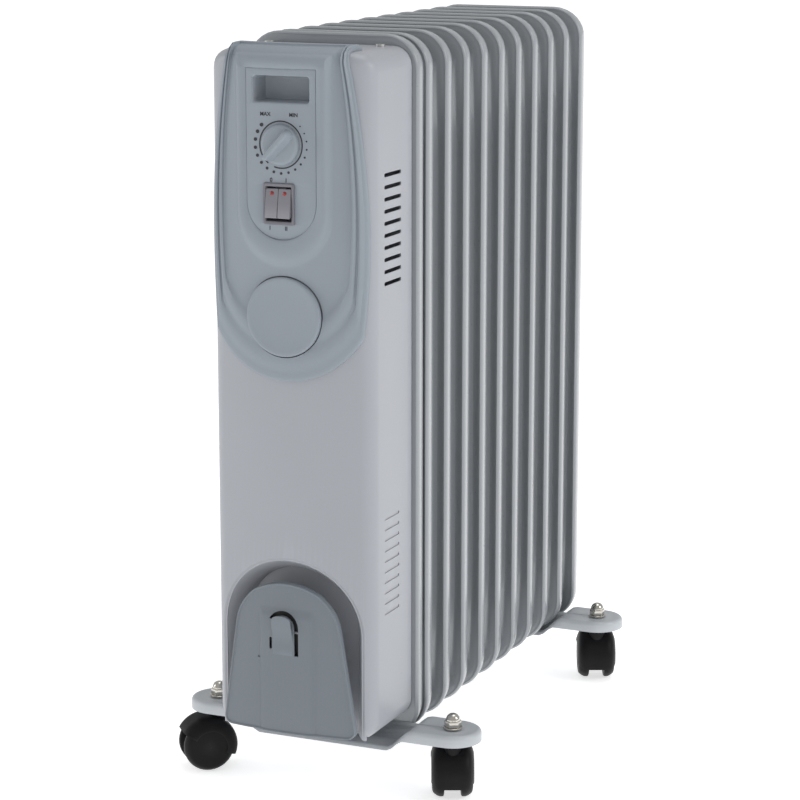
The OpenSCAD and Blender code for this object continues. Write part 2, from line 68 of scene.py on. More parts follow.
CORNERS = ("fl", "fr", "rl", "rr")
SIDES = ("in", "out")


def box_mm(node):
    """Lowest and highest corner of a node, in millimetres."""
    low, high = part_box(node)
    return low / MM, high / MM


# %% [markdown]
# ## Sizes read from the frame
# The detailed pieces stand where the solids stand, so their stations are measured from the nodes.

# %% Stations
fin_low, fin_high = box_mm("fin_01")
fin_2_low = box_mm("fin_02")[0]
box_low, box_high = box_mm("housing")
panel_high = box_mm("control_panel")[1]
insert_low, insert_high = box_mm("control_insert")
disc_low, disc_high = box_mm("cover_disc")
cup_low, cup_high = box_mm("handle_cup")
knob_low, knob_high = box_mm("dial_knob")
switch_low, switch_high = box_mm("switch_frame")
plate_low, plate_high = box_mm("winder_plate")
recess_low, recess_high = box_mm("winder_recess")
cover_low, cover_high = box_mm("cover_plate")

FIN_W = fin_high.x - fin_low.x
FIN_H = fin_high.z - fin_low.z
FIN_PITCH = fin_2_low.y - fin_low.y
FIN_MID = (fin_low.z + fin_high.z) / 2
FIN_R = 28.0
FIN_LIP = cover_high.y - cover_low.y
BOX_W = box_high.x - box_low.x
BOX_FACE, BOX_BACK = box_low.y, box_high.y
BOX_Z0, BOX_Z1 = box_low.z, box_high.z
CROWN = 8.0
CORNER_R = 15.0
CROWN_R = ((BOX_W / 2 - 10) ** 2 + CROWN ** 2) / (2 * CROWN)
print(f"fins {FIN_W:.0f} x {FIN_H:.0f} mm, pitch {FIN_PITCH:.1f} mm; box {BOX_W:.0f} mm wide")


# %% [markdown]
# ## Small workshop
# Most pieces are a loft: the same number of points round each ring, ring after ring.
# One helper makes every loft, one closes flat plates with holes, and one finishes a mesh.

# %% Mesh helpers
WELD = 0.00001


def clean_mesh(mesh, angle=35.0):
    """Merges doubles, turns faces outwards, and marks edges over an angle as sharp."""
    bm = bmesh.new()
    bm.from_mesh(mesh)
    bmesh.ops.remove_doubles(bm, verts=bm.verts, dist=WELD)
    bmesh.ops.dissolve_degenerate(bm, edges=bm.edges, dist=WELD / 2)
    bmesh.ops.recalc_face_normals(bm, faces=bm.faces)
    bm.to_mesh(mesh)
    bm.free()
    mesh.shade_smooth()
    mesh.set_sharp_from_angle(angle=math.radians(angle))
    return mesh


def add_piece(name, mesh, material, body=BODY, replaces=(), angle=35.0, clean=True):
    """Puts a finished mesh in the scene as a piece that rides on a body."""
    if clean:
        clean_mesh(mesh, angle)
    piece = bpy.data.objects.new(name, mesh)
    bpy.context.scene.collection.objects.link(piece)
    if material is not None:
        mesh.materials.clear()
        mesh.materials.append(material)
    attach(piece, body)
    if replaces:
        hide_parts(*replaces)
    print(f"{name}: {len(mesh.polygons)} faces")
    return piece


def loft_faces(count, rings, first, start_cap, end_cap):
    """Faces between rings of count points each, numbered from first."""
    faces = []
    for k in range(rings - 1):
        for i in range(count):
            a = first + k * count + i
            b = first + k * count + (i + 1) % count
            faces.append((a, b, b + count, a + count))
    if start_cap:
        faces.append(tuple(first + i for i in reversed(range(count))))
    if end_cap:
        faces.append(tuple(first + (rings - 1) * count + i for i in range(count)))
    return faces


def loft(name, parts):
    """Mesh of one or more lofts. Each part is (rings, start_cap, end_cap); points are in millimetres."""
    points, faces = [], []
    for rings, start_cap, end_cap in parts:
        first = len(points)
        count = len(rings[0])
        for ring in rings:
            points += [Vector(p) * MM for p in ring]
        faces += loft_faces(count, len(rings), first, start_cap, end_cap)
    mesh = bpy.data.meshes.new(name)
    mesh.from_pydata(points, [], faces)
    return mesh


def turned(profile, centre, axis="z", steps=48):
    """Rings of a turned shape: profile holds (radius, height) pairs along the axis."""
    rings = []
    for radius, height in profile:
        ring = []
        for i in range(steps):
            t = 2 * math.pi * i / steps
            u, v = radius * math.cos(t), radius * math.sin(t)
            offset = {"z": (u, v, height), "y": (u, height, v), "x": (height, u, v)}[axis]
            ring.append(tuple(c + o for c, o in zip(centre, offset)))
        rings.append(ring)
    return rings


def smooth(a, b, value):
    """Smooth step from 0 at a to 1 at b."""
    t = min(max((value - a) / (b - a), 0.0), 1.0)
    return t * t * (3 - 2 * t)


def rounded_ring(half_w, half_h, radius, side=6, tall=12, turn=8):
    """Points round a rounded rectangle, always in the same order and number."""
    radius = min(max(radius, 0.01), half_w - 0.01, half_h - 0.01)
    points = []
    arcs = ((1, 1, 0), (-1, 1, 90), (-1, -1, 180), (1, -1, 270))
    for sx, sz, start in arcs:
        cx, cz = sx * (half_w - radius), sz * (half_h - radius)
        for i in range(turn + 1):
            t = math.radians(start + 90 * i / turn)
            points.append((cx + radius * math.cos(t), cz + radius * math.sin(t)))
        along = side if start in (0, 180) else tall
        nx, nz = arcs[(start // 90 + 1) % 4][:2]
        ex, ez = nx * (half_w - radius), nz * (half_h - radius)
        t = math.radians(start + 90)
        px, pz = cx + radius * math.cos(t), cz + radius * math.sin(t)
        qx, qz = ex + radius * math.cos(t), ez + radius * math.sin(t)
        for i in range(1, along):
            points.append((px + (qx - px) * i / along, pz + (qz - pz) * i / along))
    return points


def flat_plate(name, outlines, y0, y1, bevel=0.3):
    """Mesh of a plate between y0 and y1 from closed outlines in X and Z; inner outlines cut holes."""
    curve = bpy.data.curves.new(name, "CURVE")
    curve.dimensions = "2D"
    curve.fill_mode = "BOTH"
    for outline in outlines:
        spline = curve.splines.new("POLY")
        spline.points.add(len(outline) - 1)
        for point, (x, z) in zip(spline.points, outline):
            point.co = (x * MM, z * MM, 0, 1)
        spline.use_cyclic_u = True
    curve.extrude = (y1 - y0) / 2 * MM - bevel * MM
    curve.bevel_depth = bevel * MM
    curve.bevel_resolution = 1
    curve.offset = -bevel * MM
    carrier = bpy.data.objects.new(name, curve)
    mesh = bpy.data.meshes.new_from_object(carrier)
    bpy.data.objects.remove(carrier)
    turn = Matrix(((1, 0, 0, 0), (0, 0, -1, (y0 + y1) / 2 * MM), (0, 1, 0, 0), (0, 0, 0, 1)))
    mesh.transform(turn)
    return mesh


def circle_points(cx, cz, radius, steps=64, start=0.0, sweep=360.0):
    """Points on a circle or an arc in X and Z."""
    count = steps if sweep >= 360 else steps + 1
    return [(cx + radius * math.cos(math.radians(start + sweep * i / steps)),
             cz + radius * math.sin(math.radians(start + sweep * i / steps))) for i in range(count)]


# %% [markdown]
# ## Finishes
# Enamel, moulded plastic and nickel all share the same faint unevenness: orange peel on paint,
# spark texture on moulds. That, and the dust that gathers low down, are node groups built once.

# %% Shared groups
def new_group(name, inputs, outputs):
    """An empty shader node group with its sockets and its two end nodes."""
    group = bpy.data.node_groups.new(name, "ShaderNodeTree")
    for label, kind, default in inputs:
        socket = group.interface.new_socket(label, in_out="INPUT", socket_type=kind)
        if default is not None:
            socket.default_value = default
    for label, kind in outputs:
        group.interface.new_socket(label, in_out="OUTPUT", socket_type=kind)
    return group, group.nodes.new("NodeGroupInput"), group.nodes.new("NodeGroupOutput")


def put(tree, kind, **settings):
    """Adds a node and sets its properties and unlinked inputs by name."""
    node = tree.nodes.new(kind)
    for key, value in settings.items():
        if hasattr(node, key):
            setattr(node, key, value)
        else:
            node.inputs[key.replace("_", " ")].default_value = value
    return node


def grain_group():
    """Fine surface relief and a slow drift of tone, both on object coordinates."""
    group, start, end = new_group("Surface grain",
                                  [("Grain Scale", "NodeSocketFloat", 900.0),
                                   ("Drift Scale", "NodeSocketFloat", 9.0)],
                                  [("Height", "NodeSocketFloat"), ("Drift", "NodeSocketFloat")])
    where = put(group, "ShaderNodeTexCoord")
    fine = put(group, "ShaderNodeTexNoise", Detail=3.0, Roughness=0.55)
    slow = put(group, "ShaderNodeTexNoise", Detail=2.0, Roughness=0.5)
    link = group.links.new
    for node, socket in ((fine, "Grain Scale"), (slow, "Drift Scale")):
        link(where.outputs["Object"], node.inputs["Vector"])
        link(start.outputs[socket], node.inputs["Scale"])
    link(fine.outputs["Fac"], end.inputs["Height"])
    link(slow.outputs["Fac"], end.inputs["Drift"])
    return group


def wear_group():
    """A mask that is high on sharp outside edges, broken up by noise, and one for dust low down."""
    group, start, end = new_group("Edges and dust",
                                  [("Edge From", "NodeSocketFloat", 0.53),
                                   ("Edge To", "NodeSocketFloat", 0.62),
                                   ("Dust Height", "NodeSocketFloat", 0.10)],
                                  [("Edge", "NodeSocketFloat"), ("Dust", "NodeSocketFloat")])
    link = group.links.new
    shape = put(group, "ShaderNodeNewGeometry")
    where = put(group, "ShaderNodeTexCoord")
    patch = put(group, "ShaderNodeTexNoise", Scale=60.0, Detail=4.0)
    link(where.outputs["Object"], patch.inputs["Vector"])
    edge = put(group, "ShaderNodeMapRange", interpolation_type="SMOOTHSTEP")
    link(shape.outputs["Pointiness"], edge.inputs["Value"])
    link(start.outputs["Edge From"], edge.inputs["From Min"])
    link(start.outputs["Edge To"], edge.inputs["From Max"])
    broken = put(group, "ShaderNodeMath", operation="MULTIPLY")
    link(edge.outputs["Result"], broken.inputs[0])
    link(patch.outputs["Fac"], broken.inputs[1])
    link(broken.outputs["Value"], end.inputs["Edge"])
    split = put(group, "ShaderNodeSeparateXYZ")
    link(where.outputs["Object"], split.inputs["Vector"])
    low = put(group, "ShaderNodeMapRange", interpolation_type="SMOOTHSTEP", From_Min=0.0, To_Min=1.0,
              To_Max=0.0)
    link(split.outputs["Z"], low.inputs["Value"])
    link(start.outputs["Dust Height"], low.inputs["From Max"])
    settle = put(group, "ShaderNodeMath", operation="MULTIPLY")
    link(low.outputs["Result"], settle.inputs[0])
    link(patch.outputs["Fac"], settle.inputs[1])
    link(settle.outputs["Value"], end.inputs["Dust"])
    return group


GRAIN = grain_group()
WEAR = wear_group()


# %% One builder for every finish
DUST_COLOUR = (0.42, 0.40, 0.37)


def blend(tree, share, first, second):
    """Mixes two colours by a share; each is a node output or a plain colour."""
    node = put(tree, "ShaderNodeMix", data_type="RGBA")
    tree.links.new(share, node.inputs["Factor"])
    for label, value in (("A", first), ("B", second)):
        if isinstance(value, tuple):
            node.inputs[label].default_value = (*value, 1)
        else:
            tree.links.new(value, node.inputs[label])
    return node.outputs["Result"]


def finish(name, colour, shade, roughness, spread=0.08, metallic=0.0, grain=900.0, bump=0.08,
           edge_colour=None, dust=0.12, coat=0.0, specular=0.5):
    """A finish from its main colour, a second shade it drifts to, roughness, and fine relief."""
    material = bpy.data.materials.new(name)
    material.use_nodes = True
    tree = material.node_tree
    link = tree.links.new
    shader = tree.nodes["Principled BSDF"]
    shader.inputs["Metallic"].default_value = metallic
    shader.inputs["Specular IOR Level"].default_value = specular
    shader.inputs["Coat Weight"].default_value = coat
    shader.inputs["Coat Roughness"].default_value = 0.12
    texture = put(tree, "ShaderNodeGroup", node_tree=GRAIN, Grain_Scale=grain)
    wear = put(tree, "ShaderNodeGroup", node_tree=WEAR)
    tone = blend(tree, texture.outputs["Drift"], colour, shade)
    paler = edge_colour or tuple(min(1.0, c * 1.25) for c in colour)
    worn = blend(tree, wear.outputs["Edge"], tone, paler)
    amount = put(tree, "ShaderNodeMath", operation="MULTIPLY")
    link(wear.outputs["Dust"], amount.inputs[0])
    amount.inputs[1].default_value = dust
    dusty = blend(tree, amount.outputs["Value"], worn, DUST_COLOUR)
    link(dusty, shader.inputs["Base Color"])
    rough = put(tree, "ShaderNodeMapRange", To_Min=max(0.02, roughness - spread),
                To_Max=min(1.0, roughness + spread))
    link(texture.outputs["Height"], rough.inputs["Value"])
    link(rough.outputs["Result"], shader.inputs["Roughness"])
    relief = put(tree, "ShaderNodeBump", Strength=bump, Distance=0.0004)
    link(texture.outputs["Height"], relief.inputs["Height"])
    link(relief.outputs["Normal"], shader.inputs["Normal"])
    return material


box_enamel = finish("Box enamel", (0.365, 0.38, 0.415), (0.335, 0.35, 0.38), 0.42, grain=700, bump=0.10,
                    coat=0.15)
fin_enamel = finish("Fin enamel", (0.305, 0.325, 0.345), (0.28, 0.30, 0.32), 0.30, grain=500, bump=0.12,
                    coat=0.5)
foot_enamel = finish("Foot enamel", (0.50, 0.53, 0.56), (0.46, 0.49, 0.52), 0.40, grain=600, bump=0.12,
                     coat=0.15)
panel_plastic = finish("Panel plastic", (0.275, 0.31, 0.35), (0.25, 0.285, 0.325), 0.50, grain=1600,
                       bump=0.16)
insert_plastic = finish("Insert plastic", (0.275, 0.31, 0.35), (0.25, 0.285, 0.325), 0.55, grain=1600,
                        bump=0.14)
cup_plastic = finish("Recess plastic", (0.36, 0.395, 0.435), (0.33, 0.365, 0.40), 0.6, grain=1400, bump=0.15)
winder_plastic = finish("Winder plastic", (0.175, 0.20, 0.225), (0.155, 0.18, 0.205), 0.50, grain=1500,
                        bump=0.16)
switch_plastic = finish("Switch plastic", (0.185, 0.18, 0.205), (0.155, 0.15, 0.175), 0.38, grain=1500,
                        bump=0.08)
wheel_nylon = finish("Black nylon", (0.005, 0.005, 0.006), (0.008, 0.008, 0.009), 0.42, grain=1300,
                     bump=0.18, edge_colour=(0.03, 0.03, 0.033), dust=0.02, specular=0.12)
print_ink = finish("Black ink", (0.02, 0.02, 0.025), (0.03, 0.03, 0.035), 0.6, grain=2000, bump=0.03,
                   dust=0.0)
nickel = finish("Bright nickel", (0.60, 0.58, 0.53), (0.54, 0.52, 0.48), 0.16, spread=0.06, metallic=1.0,
                grain=400, bump=0.03, dust=0.05)
zinc = finish("Dull zinc", (0.50, 0.50, 0.49), (0.42, 0.42, 0.42), 0.38, metallic=1.0, grain=300, bump=0.08)
key_plastic = finish("Key plastic", (0.235, 0.235, 0.26), (0.20, 0.20, 0.225), 0.40, grain=1500, bump=0.08)
lens_red = finish("Red lens", (0.26, 0.010, 0.008), (0.20, 0.007, 0.007), 0.18, spread=0.04, grain=900,
                  bump=0.02, coat=0.6)
cream = finish("Cream moulding", (0.62, 0.58, 0.48), (0.56, 0.52, 0.43), 0.55, grain=900)
# This black is the wiring sleeve, and also the painted shade on the thin sheet behind the winder slot.
black_sleeve_and_shade = finish("Black silicone and painted shade", (0.03, 0.03, 0.03), (0.05, 0.05, 0.05), 0.6, grain=900)
print("finishes:", len(bpy.data.materials))


# %% [markdown]
# ## The fins
# A fin is a thin pressed sheet: a round crest, a lip folded back, and raised oil channels.
# The shape follows a rule, so one fin is lofted from rounded rectangles, each a little smaller than
# the last, and its depth at any point comes from a formula. A Geometry Nodes row repeats it.

# %% Shape of one fin
SHEET = 1.2
FIN_STEPS = (10, 30, 8)
CHANNEL_OUT, CHANNEL_BACK = 4.0, 8.0
CHANNEL_HALF = 13.0
CHANNEL_X = (-(FIN_W / 2 - 23), 0.0, FIN_W / 2 - 23)
CHANNEL_END = FIN_H / 2 - 45
LIP_PROFILE = ((2.4, 1.0), (1.5, 0.8), (0.6, 0.5), (0.0, 0.22))
CREST_PROFILE = ((0.25, 1.6), (0.9, 0.6), (1.9, 0.05), (3.0, 0.3), (4.6, 1.7), (6.6, 3.4), (8.5, 4.0))
INNER_INSETS = (9.5, 10.5, 11.5, 13, 16, 22, 28, 32, 34, 36, 38, 42, 50, 58, 61, 63, 65, 67, 70)
VALLEY = CREST_PROFILE[-1][1]


def channel_mask(x, z):
    """1 on an oil channel, 0 beside it, with a soft pressed edge."""
    past_end = max(abs(z) - CHANNEL_END, 0.0)
    near = min(math.hypot(x - cx, past_end) for cx in CHANNEL_X)
    return smooth(-0.8, 3.6, CHANNEL_HALF - near)


def valley_fade(z):
    """The groove inside the crest dies away towards the top and bottom of the fin."""
    return smooth(50, 105, FIN_H / 2 - abs(z))


def fin_ring(inset, depth, y0):
    """One ring of the fin; depth is a number or a rule of x and z."""
    ring = []
    for x, z in rounded_ring(FIN_W / 2 - inset, FIN_H / 2 - inset, max(FIN_R - inset, 3.0), *FIN_STEPS):
        y = depth(x, z) if callable(depth) else depth
        ring.append((x, y0 + y, FIN_MID + z))
    return ring


def front_depth(level):
    """Rule for the front of a fin: the groove at a given depth, with the channels standing out."""
    def depth(x, z):
        mask = channel_mask(x, z)
        return (level * valley_fade(z)) * (1 - mask) - CHANNEL_OUT * mask
    return depth


def back_depth(x, z):
    """Rule for the back of a fin: the same pressing, seen from behind."""
    return (VALLEY * valley_fade(z) + SHEET) * (1 - channel_mask(x, z)) + CHANNEL_BACK * channel_mask(x, z)


def fin_rings(y0, channels=True):
    """All the rings of a fin, from the middle of its front, round the lip, to the middle of its back."""
    front = [fin_ring(i, front_depth(VALLEY) if channels else 0.0, y0) for i in reversed(INNER_INSETS)]
    crest = []
    for inset, depth in reversed(CREST_PROFILE):
        if depth > 0.6 and inset > 3:
            fade = (lambda d: lambda x, z: d * valley_fade(z))(depth) if channels else 0.0
            crest.append(fin_ring(inset, fade, y0))
        else:
            crest.append(fin_ring(inset, depth, y0))
    rim = [fin_ring(i, share * FIN_LIP, y0) for i, share in reversed(LIP_PROFILE)]
    inner = [fin_ring(3.6, FIN_LIP, y0), fin_ring(2.0, 0.4 * FIN_LIP, y0), fin_ring(1.5, 3.2, y0),
             fin_ring(3.0, 1.5, y0)]
    back = [fin_ring(i, back_depth if channels else SHEET, y0) for i in (9.0,) + INNER_INSETS]
    return front + crest + rim + inner + back


fin_mesh = loft("fin", [(fin_rings(fin_low.y + CHANNEL_OUT + 1.5), True, True)])
print("one fin:", len(fin_mesh.polygons), "faces")


# %% [markdown]
# ## Geometry Nodes helpers
# A row of fins, a ring of dots and a stack of louvres are all the same idea: copy one shape onto points.
# One builder makes what the trees share: it copies a shape, turns the copies into real faces and gives them
# their finish. Each tree then says where its points are: on a line, round a circle, or on a mesh.

# %% Trees that copy a shape
def set_input(modifier, label, value):
    """Sets a modifier input by its socket identifier."""
    for item in modifier.node_group.interface.items_tree:
        if item.item_type == "SOCKET" and item.in_out == "INPUT" and item.name == label:
            modifier[item.identifier] = value
            return
    raise KeyError(label)


def copying_tree(name, inputs):
    """A tree that copies a shape onto points, makes the copies real and gives them their finish."""
    tree = bpy.data.node_groups.new(name, "GeometryNodeTree")
    sockets = [("Geometry", "Geometry")] + inputs + [("Finish", "Material")]
    for label, kind in sockets:
        tree.interface.new_socket(label, in_out="INPUT", socket_type="NodeSocket" + kind)
    tree.interface.new_socket("Geometry", in_out="OUTPUT", socket_type="NodeSocketGeometry")
    start = tree.nodes.new("NodeGroupInput")
    end = tree.nodes.new("NodeGroupOutput")
    copies = tree.nodes.new("GeometryNodeInstanceOnPoints")
    real = tree.nodes.new("GeometryNodeRealizeInstances")
    coat = tree.nodes.new("GeometryNodeSetMaterial")
    tree.links.new(copies.outputs["Instances"], real.inputs["Geometry"])
    tree.links.new(real.outputs["Geometry"], coat.inputs["Geometry"])
    tree.links.new(start.outputs["Finish"], coat.inputs["Material"])
    tree.links.new(coat.outputs["Geometry"], end.inputs["Geometry"])
    return tree, start, copies


def row_tree():
    """Copies the incoming mesh along a straight line."""
    tree, start, copies = copying_tree("Straight row", [("Count", "Int"), ("Step", "Vector")])
    line = tree.nodes.new("GeometryNodeMeshLine")
    link = tree.links.new
    link(start.outputs["Count"], line.inputs["Count"])
    link(start.outputs["Step"], line.inputs["Offset"])
    link(line.outputs["Mesh"], copies.inputs["Points"])
    link(start.outputs["Geometry"], copies.inputs["Instance"])
    return tree


def ring_tree():
    """Copies the incoming mesh round a circle in the X Z plane, growing from the first to the last."""
    numbers = [(label, "Float") for label in ("Radius", "Start Angle", "Sweep", "Small", "Large")]
    tree, start, copies = copying_tree("Growing ring", [("Count", "Int")] + numbers + [("Centre", "Vector")])
    link = tree.links.new
    line = tree.nodes.new("GeometryNodeMeshLine")
    index = tree.nodes.new("GeometryNodeInputIndex")

    def calc(kind, *values):
        """One step of arithmetic on numbers or on the outputs of other nodes."""
        node = tree.nodes.new("ShaderNodeMath")
        node.operation = kind
        for socket, value in zip(node.inputs, values):
            if isinstance(value, (int, float)):
                socket.default_value = value
            else:
                link(value, socket)
        return node.outputs["Value"]

    share = calc("DIVIDE", index.outputs["Index"], calc("SUBTRACT", start.outputs["Count"], 1))
    angle = calc("ADD", start.outputs["Start Angle"], calc("MULTIPLY", share, start.outputs["Sweep"]))
    growth = calc("SUBTRACT", start.outputs["Large"], start.outputs["Small"])
    size = calc("ADD", start.outputs["Small"], calc("MULTIPLY", share, growth))
    place = tree.nodes.new("ShaderNodeCombineXYZ")
    link(calc("MULTIPLY", calc("COSINE", angle), start.outputs["Radius"]), place.inputs["X"])
    link(calc("MULTIPLY", calc("SINE", angle), start.outputs["Radius"]), place.inputs["Z"])
    shift = tree.nodes.new("ShaderNodeVectorMath")
    link(place.outputs["Vector"], shift.inputs[0])
    link(start.outputs["Centre"], shift.inputs[1])
    move = tree.nodes.new("GeometryNodeSetPosition")
    link(start.outputs["Count"], line.inputs["Count"])
    link(line.outputs["Mesh"], move.inputs["Geometry"])
    link(shift.outputs["Vector"], move.inputs["Position"])
    link(move.outputs["Geometry"], copies.inputs["Points"])
    link(start.outputs["Geometry"], copies.inputs["Instance"])
    link(size, copies.inputs["Scale"])
    return tree


def points_tree():
    """Copies an object onto the points of the incoming mesh, such as a nut on each stem."""
    tree, start, copies = copying_tree("On each point", [("Shape", "Object")])
    shape = tree.nodes.new("GeometryNodeObjectInfo")
    link = tree.links.new
    link(start.outputs["Shape"], shape.inputs["Object"])
    link(start.outputs["Geometry"], copies.inputs["Points"])
    link(shape.outputs["Geometry"], copies.inputs["Instance"])
    return tree


ROW, RING, POINTS = row_tree(), ring_tree(), points_tree()


def grow(mesh, tree, **values):
    """Runs a tree on a mesh and returns the plain mesh that it makes."""
    carrier = bpy.data.objects.new("carrier", mesh)
    bpy.context.scene.collection.objects.link(carrier)
    modifier = carrier.modifiers.new("grow", "NODES")
    modifier.node_group = tree
    for label, value in values.items():
        set_input(modifier, label.replace("_", " "), value)
    carrier.update_tag()
    graph = bpy.context.evaluated_depsgraph_get()
    graph.update()
    made = bpy.data.meshes.new_from_object(carrier.evaluated_get(graph), preserve_all_data_layers=True,
                                           depsgraph=graph)
    carrier.modifiers.remove(modifier)
    bpy.data.objects.remove(carrier)
    return made


def cut(mesh, cutters):
    """Cuts the cutter meshes out of a mesh and returns the new mesh."""
    body = bpy.data.objects.new("body", mesh)
    bpy.context.scene.collection.objects.link(body)
    tools = []
    for cutter in cutters:
        tool = bpy.data.objects.new("tool", cutter)
        bpy.context.scene.collection.objects.link(tool)
        tools.append(tool)
        modifier = body.modifiers.new("cut", "BOOLEAN")
        modifier.operation = "DIFFERENCE"
        modifier.solver = "EXACT"
        modifier.object = tool
    graph = bpy.context.evaluated_depsgraph_get()
    graph.update()
    made = bpy.data.meshes.new_from_object(body.evaluated_get(graph), depsgraph=graph)
    for item in tools + [body]:
        bpy.data.objects.remove(item)
    return made


# %% [markdown]
# The whole row of fins is one mesh, because nothing in it moves. It stands for the ten solids.

# %% Fin row
clean_mesh(fin_mesh, 40)
fin_nodes = sorted(name for name in frame["nodes"] if name.startswith("fin_"))
row = grow(fin_mesh, ROW, Count=len(fin_nodes), Step=(0, FIN_PITCH * MM, 0), Finish=fin_enamel)
add_piece("radiator_fins", row, fin_enamel, replaces=fin_nodes, clean=False)

cover_mesh = loft("cover", [(fin_rings(cover_low.y, False), True, True)])
add_piece("cover_plate_steel", cover_mesh, fin_enamel, replaces=["cover_plate"],
          angle=40)


# %% [markdown]
# ## The control box
# The box is folded and pressed from one steel sheet: flat sides, a face that is slightly crowned,
# corners rolled to an even radius, and a rounded top edge. Its plan is known at every height,
# so a stack of plans is lofted, hollowed by a second, smaller stack, and then cut as a press would cut it.

# %% Box plan at each height
CROWN_Y = BOX_FACE + CROWN_R
TOP_R, EDGE_R = 9.0, 16.0


def corner_angle(half_w, out, shift):
    """Angle and centre of the corner circle that touches the crown and the flat side."""
    radius = CORNER_R + out
    cx = half_w - radius
    cy = CROWN_Y + shift - math.sqrt((CROWN_R + out - radius) ** 2 - cx ** 2)
    return math.atan2(cx, CROWN_Y + shift - cy), cx, cy, radius


def box_plan(half_w, out, shift, back):
    """Plan of the box from the back left, round the crowned face, to the back right."""
    angle, cx, cy, radius = corner_angle(half_w, out, shift)
    right = [(half_w, back - (back - cy) * k / 3) for k in range(3)]
    for k in range(9):
        t = math.pi / 2 + (angle - math.pi / 2) * k / 8
        right.append((cx + radius * math.sin(t), cy - radius * math.cos(t)))
    for k in range(1, 13):
        t = angle * (1 - k / 12)
        right.append(((CROWN_R + out) * math.sin(t), CROWN_Y + shift - (CROWN_R + out) * math.cos(t)))
    return [(-x, y) for x, y in right] + [(x, y) for x, y in reversed(right[:-1])]


def quarter(radius, depth):
    """How far a quarter round of a radius stands back at a depth below its top."""
    if depth >= radius:
        return 0.0
    return radius - math.sqrt(radius ** 2 - (radius - depth) ** 2)


def box_stack(out, back):
    """Plans of the box, or of its inside, at every height that its rounded edges need."""
    z0, z1 = BOX_Z0 - out, BOX_Z1 + out
    steps = [0, 0.25, 0.8, 1.8, 3.2, 5, 7, 9, 11.5, 16]
    heights = [z0 + d for d in steps] + [z0 + (z1 - z0) * k / 6 for k in range(1, 6)]
    heights += [z1 - d for d in reversed(steps)]
    rings = []
    for z in heights:
        half_w = BOX_W / 2 + out - quarter(EDGE_R + out, min(z - z0, z1 - z))
        shift = quarter(TOP_R + out, z1 - z)
        rings.append([(x, y, z) for x, y in box_plan(half_w, out, shift, back)])
    return rings


def face_y(x, out=0.0):
    """Front surface of the box, or of something standing out from it, at a distance from the middle."""
    angle, cx, cy, radius = corner_angle(BOX_W / 2 + out, out, 0)
    x = min(abs(x), BOX_W / 2 + out - 0.01)
    if x < (CROWN_R + out) * math.sin(angle):
        return CROWN_Y - math.sqrt((CROWN_R + out) ** 2 - x * x)
    return cy - math.sqrt(radius ** 2 - (x - cx) ** 2)


# %% Slots and the arch
ARCH_R, ARCH_TOP = (recess_high.x - recess_low.x) / 2 - 1.2, recess_high.z - 1.2


def arch_path(radius, top, foot):
    """Points up the left leg, over the arch and down the right leg."""
    steps, legs = 40, 8
    middle = top - ARCH_R
    left = [(-radius, foot + (middle - foot) * k / legs) for k in range(legs)]
    over = [(radius * math.cos(math.pi - math.pi * k / steps),
             middle + radius * math.sin(math.pi * k / steps)) for k in range(steps + 1)]
    return left + over + [(x * -1, z) for x, z in reversed(left)]


def prism(outline, y0, y1):
    """Closed prism through the box along Y."""
    ends = [[(x, y, z) for x, z in outline] for y in (y0, y1)]
    return loft("prism", [(ends, True, True)])


def slot_outline(y0, y1, z, height):
    """Round ended slot in the side view."""
    radius = height / 2
    points = [(y1 - radius + radius * math.sin(math.pi * k / 8), z - radius * math.cos(math.pi * k / 8))
              for k in range(9)]
    return points + [(y0 + radius - radius * math.sin(math.pi * k / 8),
                      z + radius * math.cos(math.pi * k / 8)) for k in range(9)]


def slot_row(x0, x1, y0, y1, z, pitch, height=3.2):
    """Ten slot shaped cutters, one above the other."""
    outline = slot_outline(y0, y1, z, height)
    ends = [[(x, across, up) for across, up in outline] for x in (x0, x1)]
    one = loft("slot", [(ends, True, True)])
    clean_mesh(one)
    return grow(one, ROW, Count=10, Step=(0, 0, pitch * MM), Finish=box_enamel)


shell = loft("shell", [(box_stack(0, BOX_BACK), True, True)])
hollow = loft("hollow", [(box_stack(-1.2, BOX_BACK + 6), True, True)])
WINDOW_HALF = 29
window_z0, window_z1 = insert_low.z + 8, insert_high.z - 3
window = prism([(-WINDOW_HALF, window_z0), (WINDOW_HALF, window_z0), (WINDOW_HALF, window_z1),
                (-WINDOW_HALF, window_z1)], BOX_FACE - 8, BOX_FACE + 20)
mouth = prism(arch_path(ARCH_R + 2.4, ARCH_TOP, BOX_Z0 - 6), BOX_FACE - 8, BOX_FACE + 28)
cutters = [hollow, window, mouth]
UPPER_SLOTS, LOWER_SLOTS = BOX_Z0 + 373.6, BOX_Z0 + 103.1
SLOT_FRONT = BOX_BACK - 54
for side in (-1, 1):
    edge = side * BOX_W / 2
    cutters.append(slot_row(edge - 3, edge + 3, SLOT_FRONT, BOX_BACK - 21, UPPER_SLOTS, 9.6))
    cutters.append(slot_row(edge - 0.7, edge + 0.7, SLOT_FRONT, BOX_BACK - 25, LOWER_SLOTS, 8.8, 2.4))
for mesh in [shell] + cutters:
    clean_mesh(mesh)
box_mesh = cut(shell, cutters)
add_piece("control_box", box_mesh, box_enamel, replaces=["housing"], angle=30)


# %% [markdown]
# The mouth of the winder recess is drawn inwards in a soft slope before it turns into the recess wall.
# A short cross-section is carried along the arch to make that drawn edge.

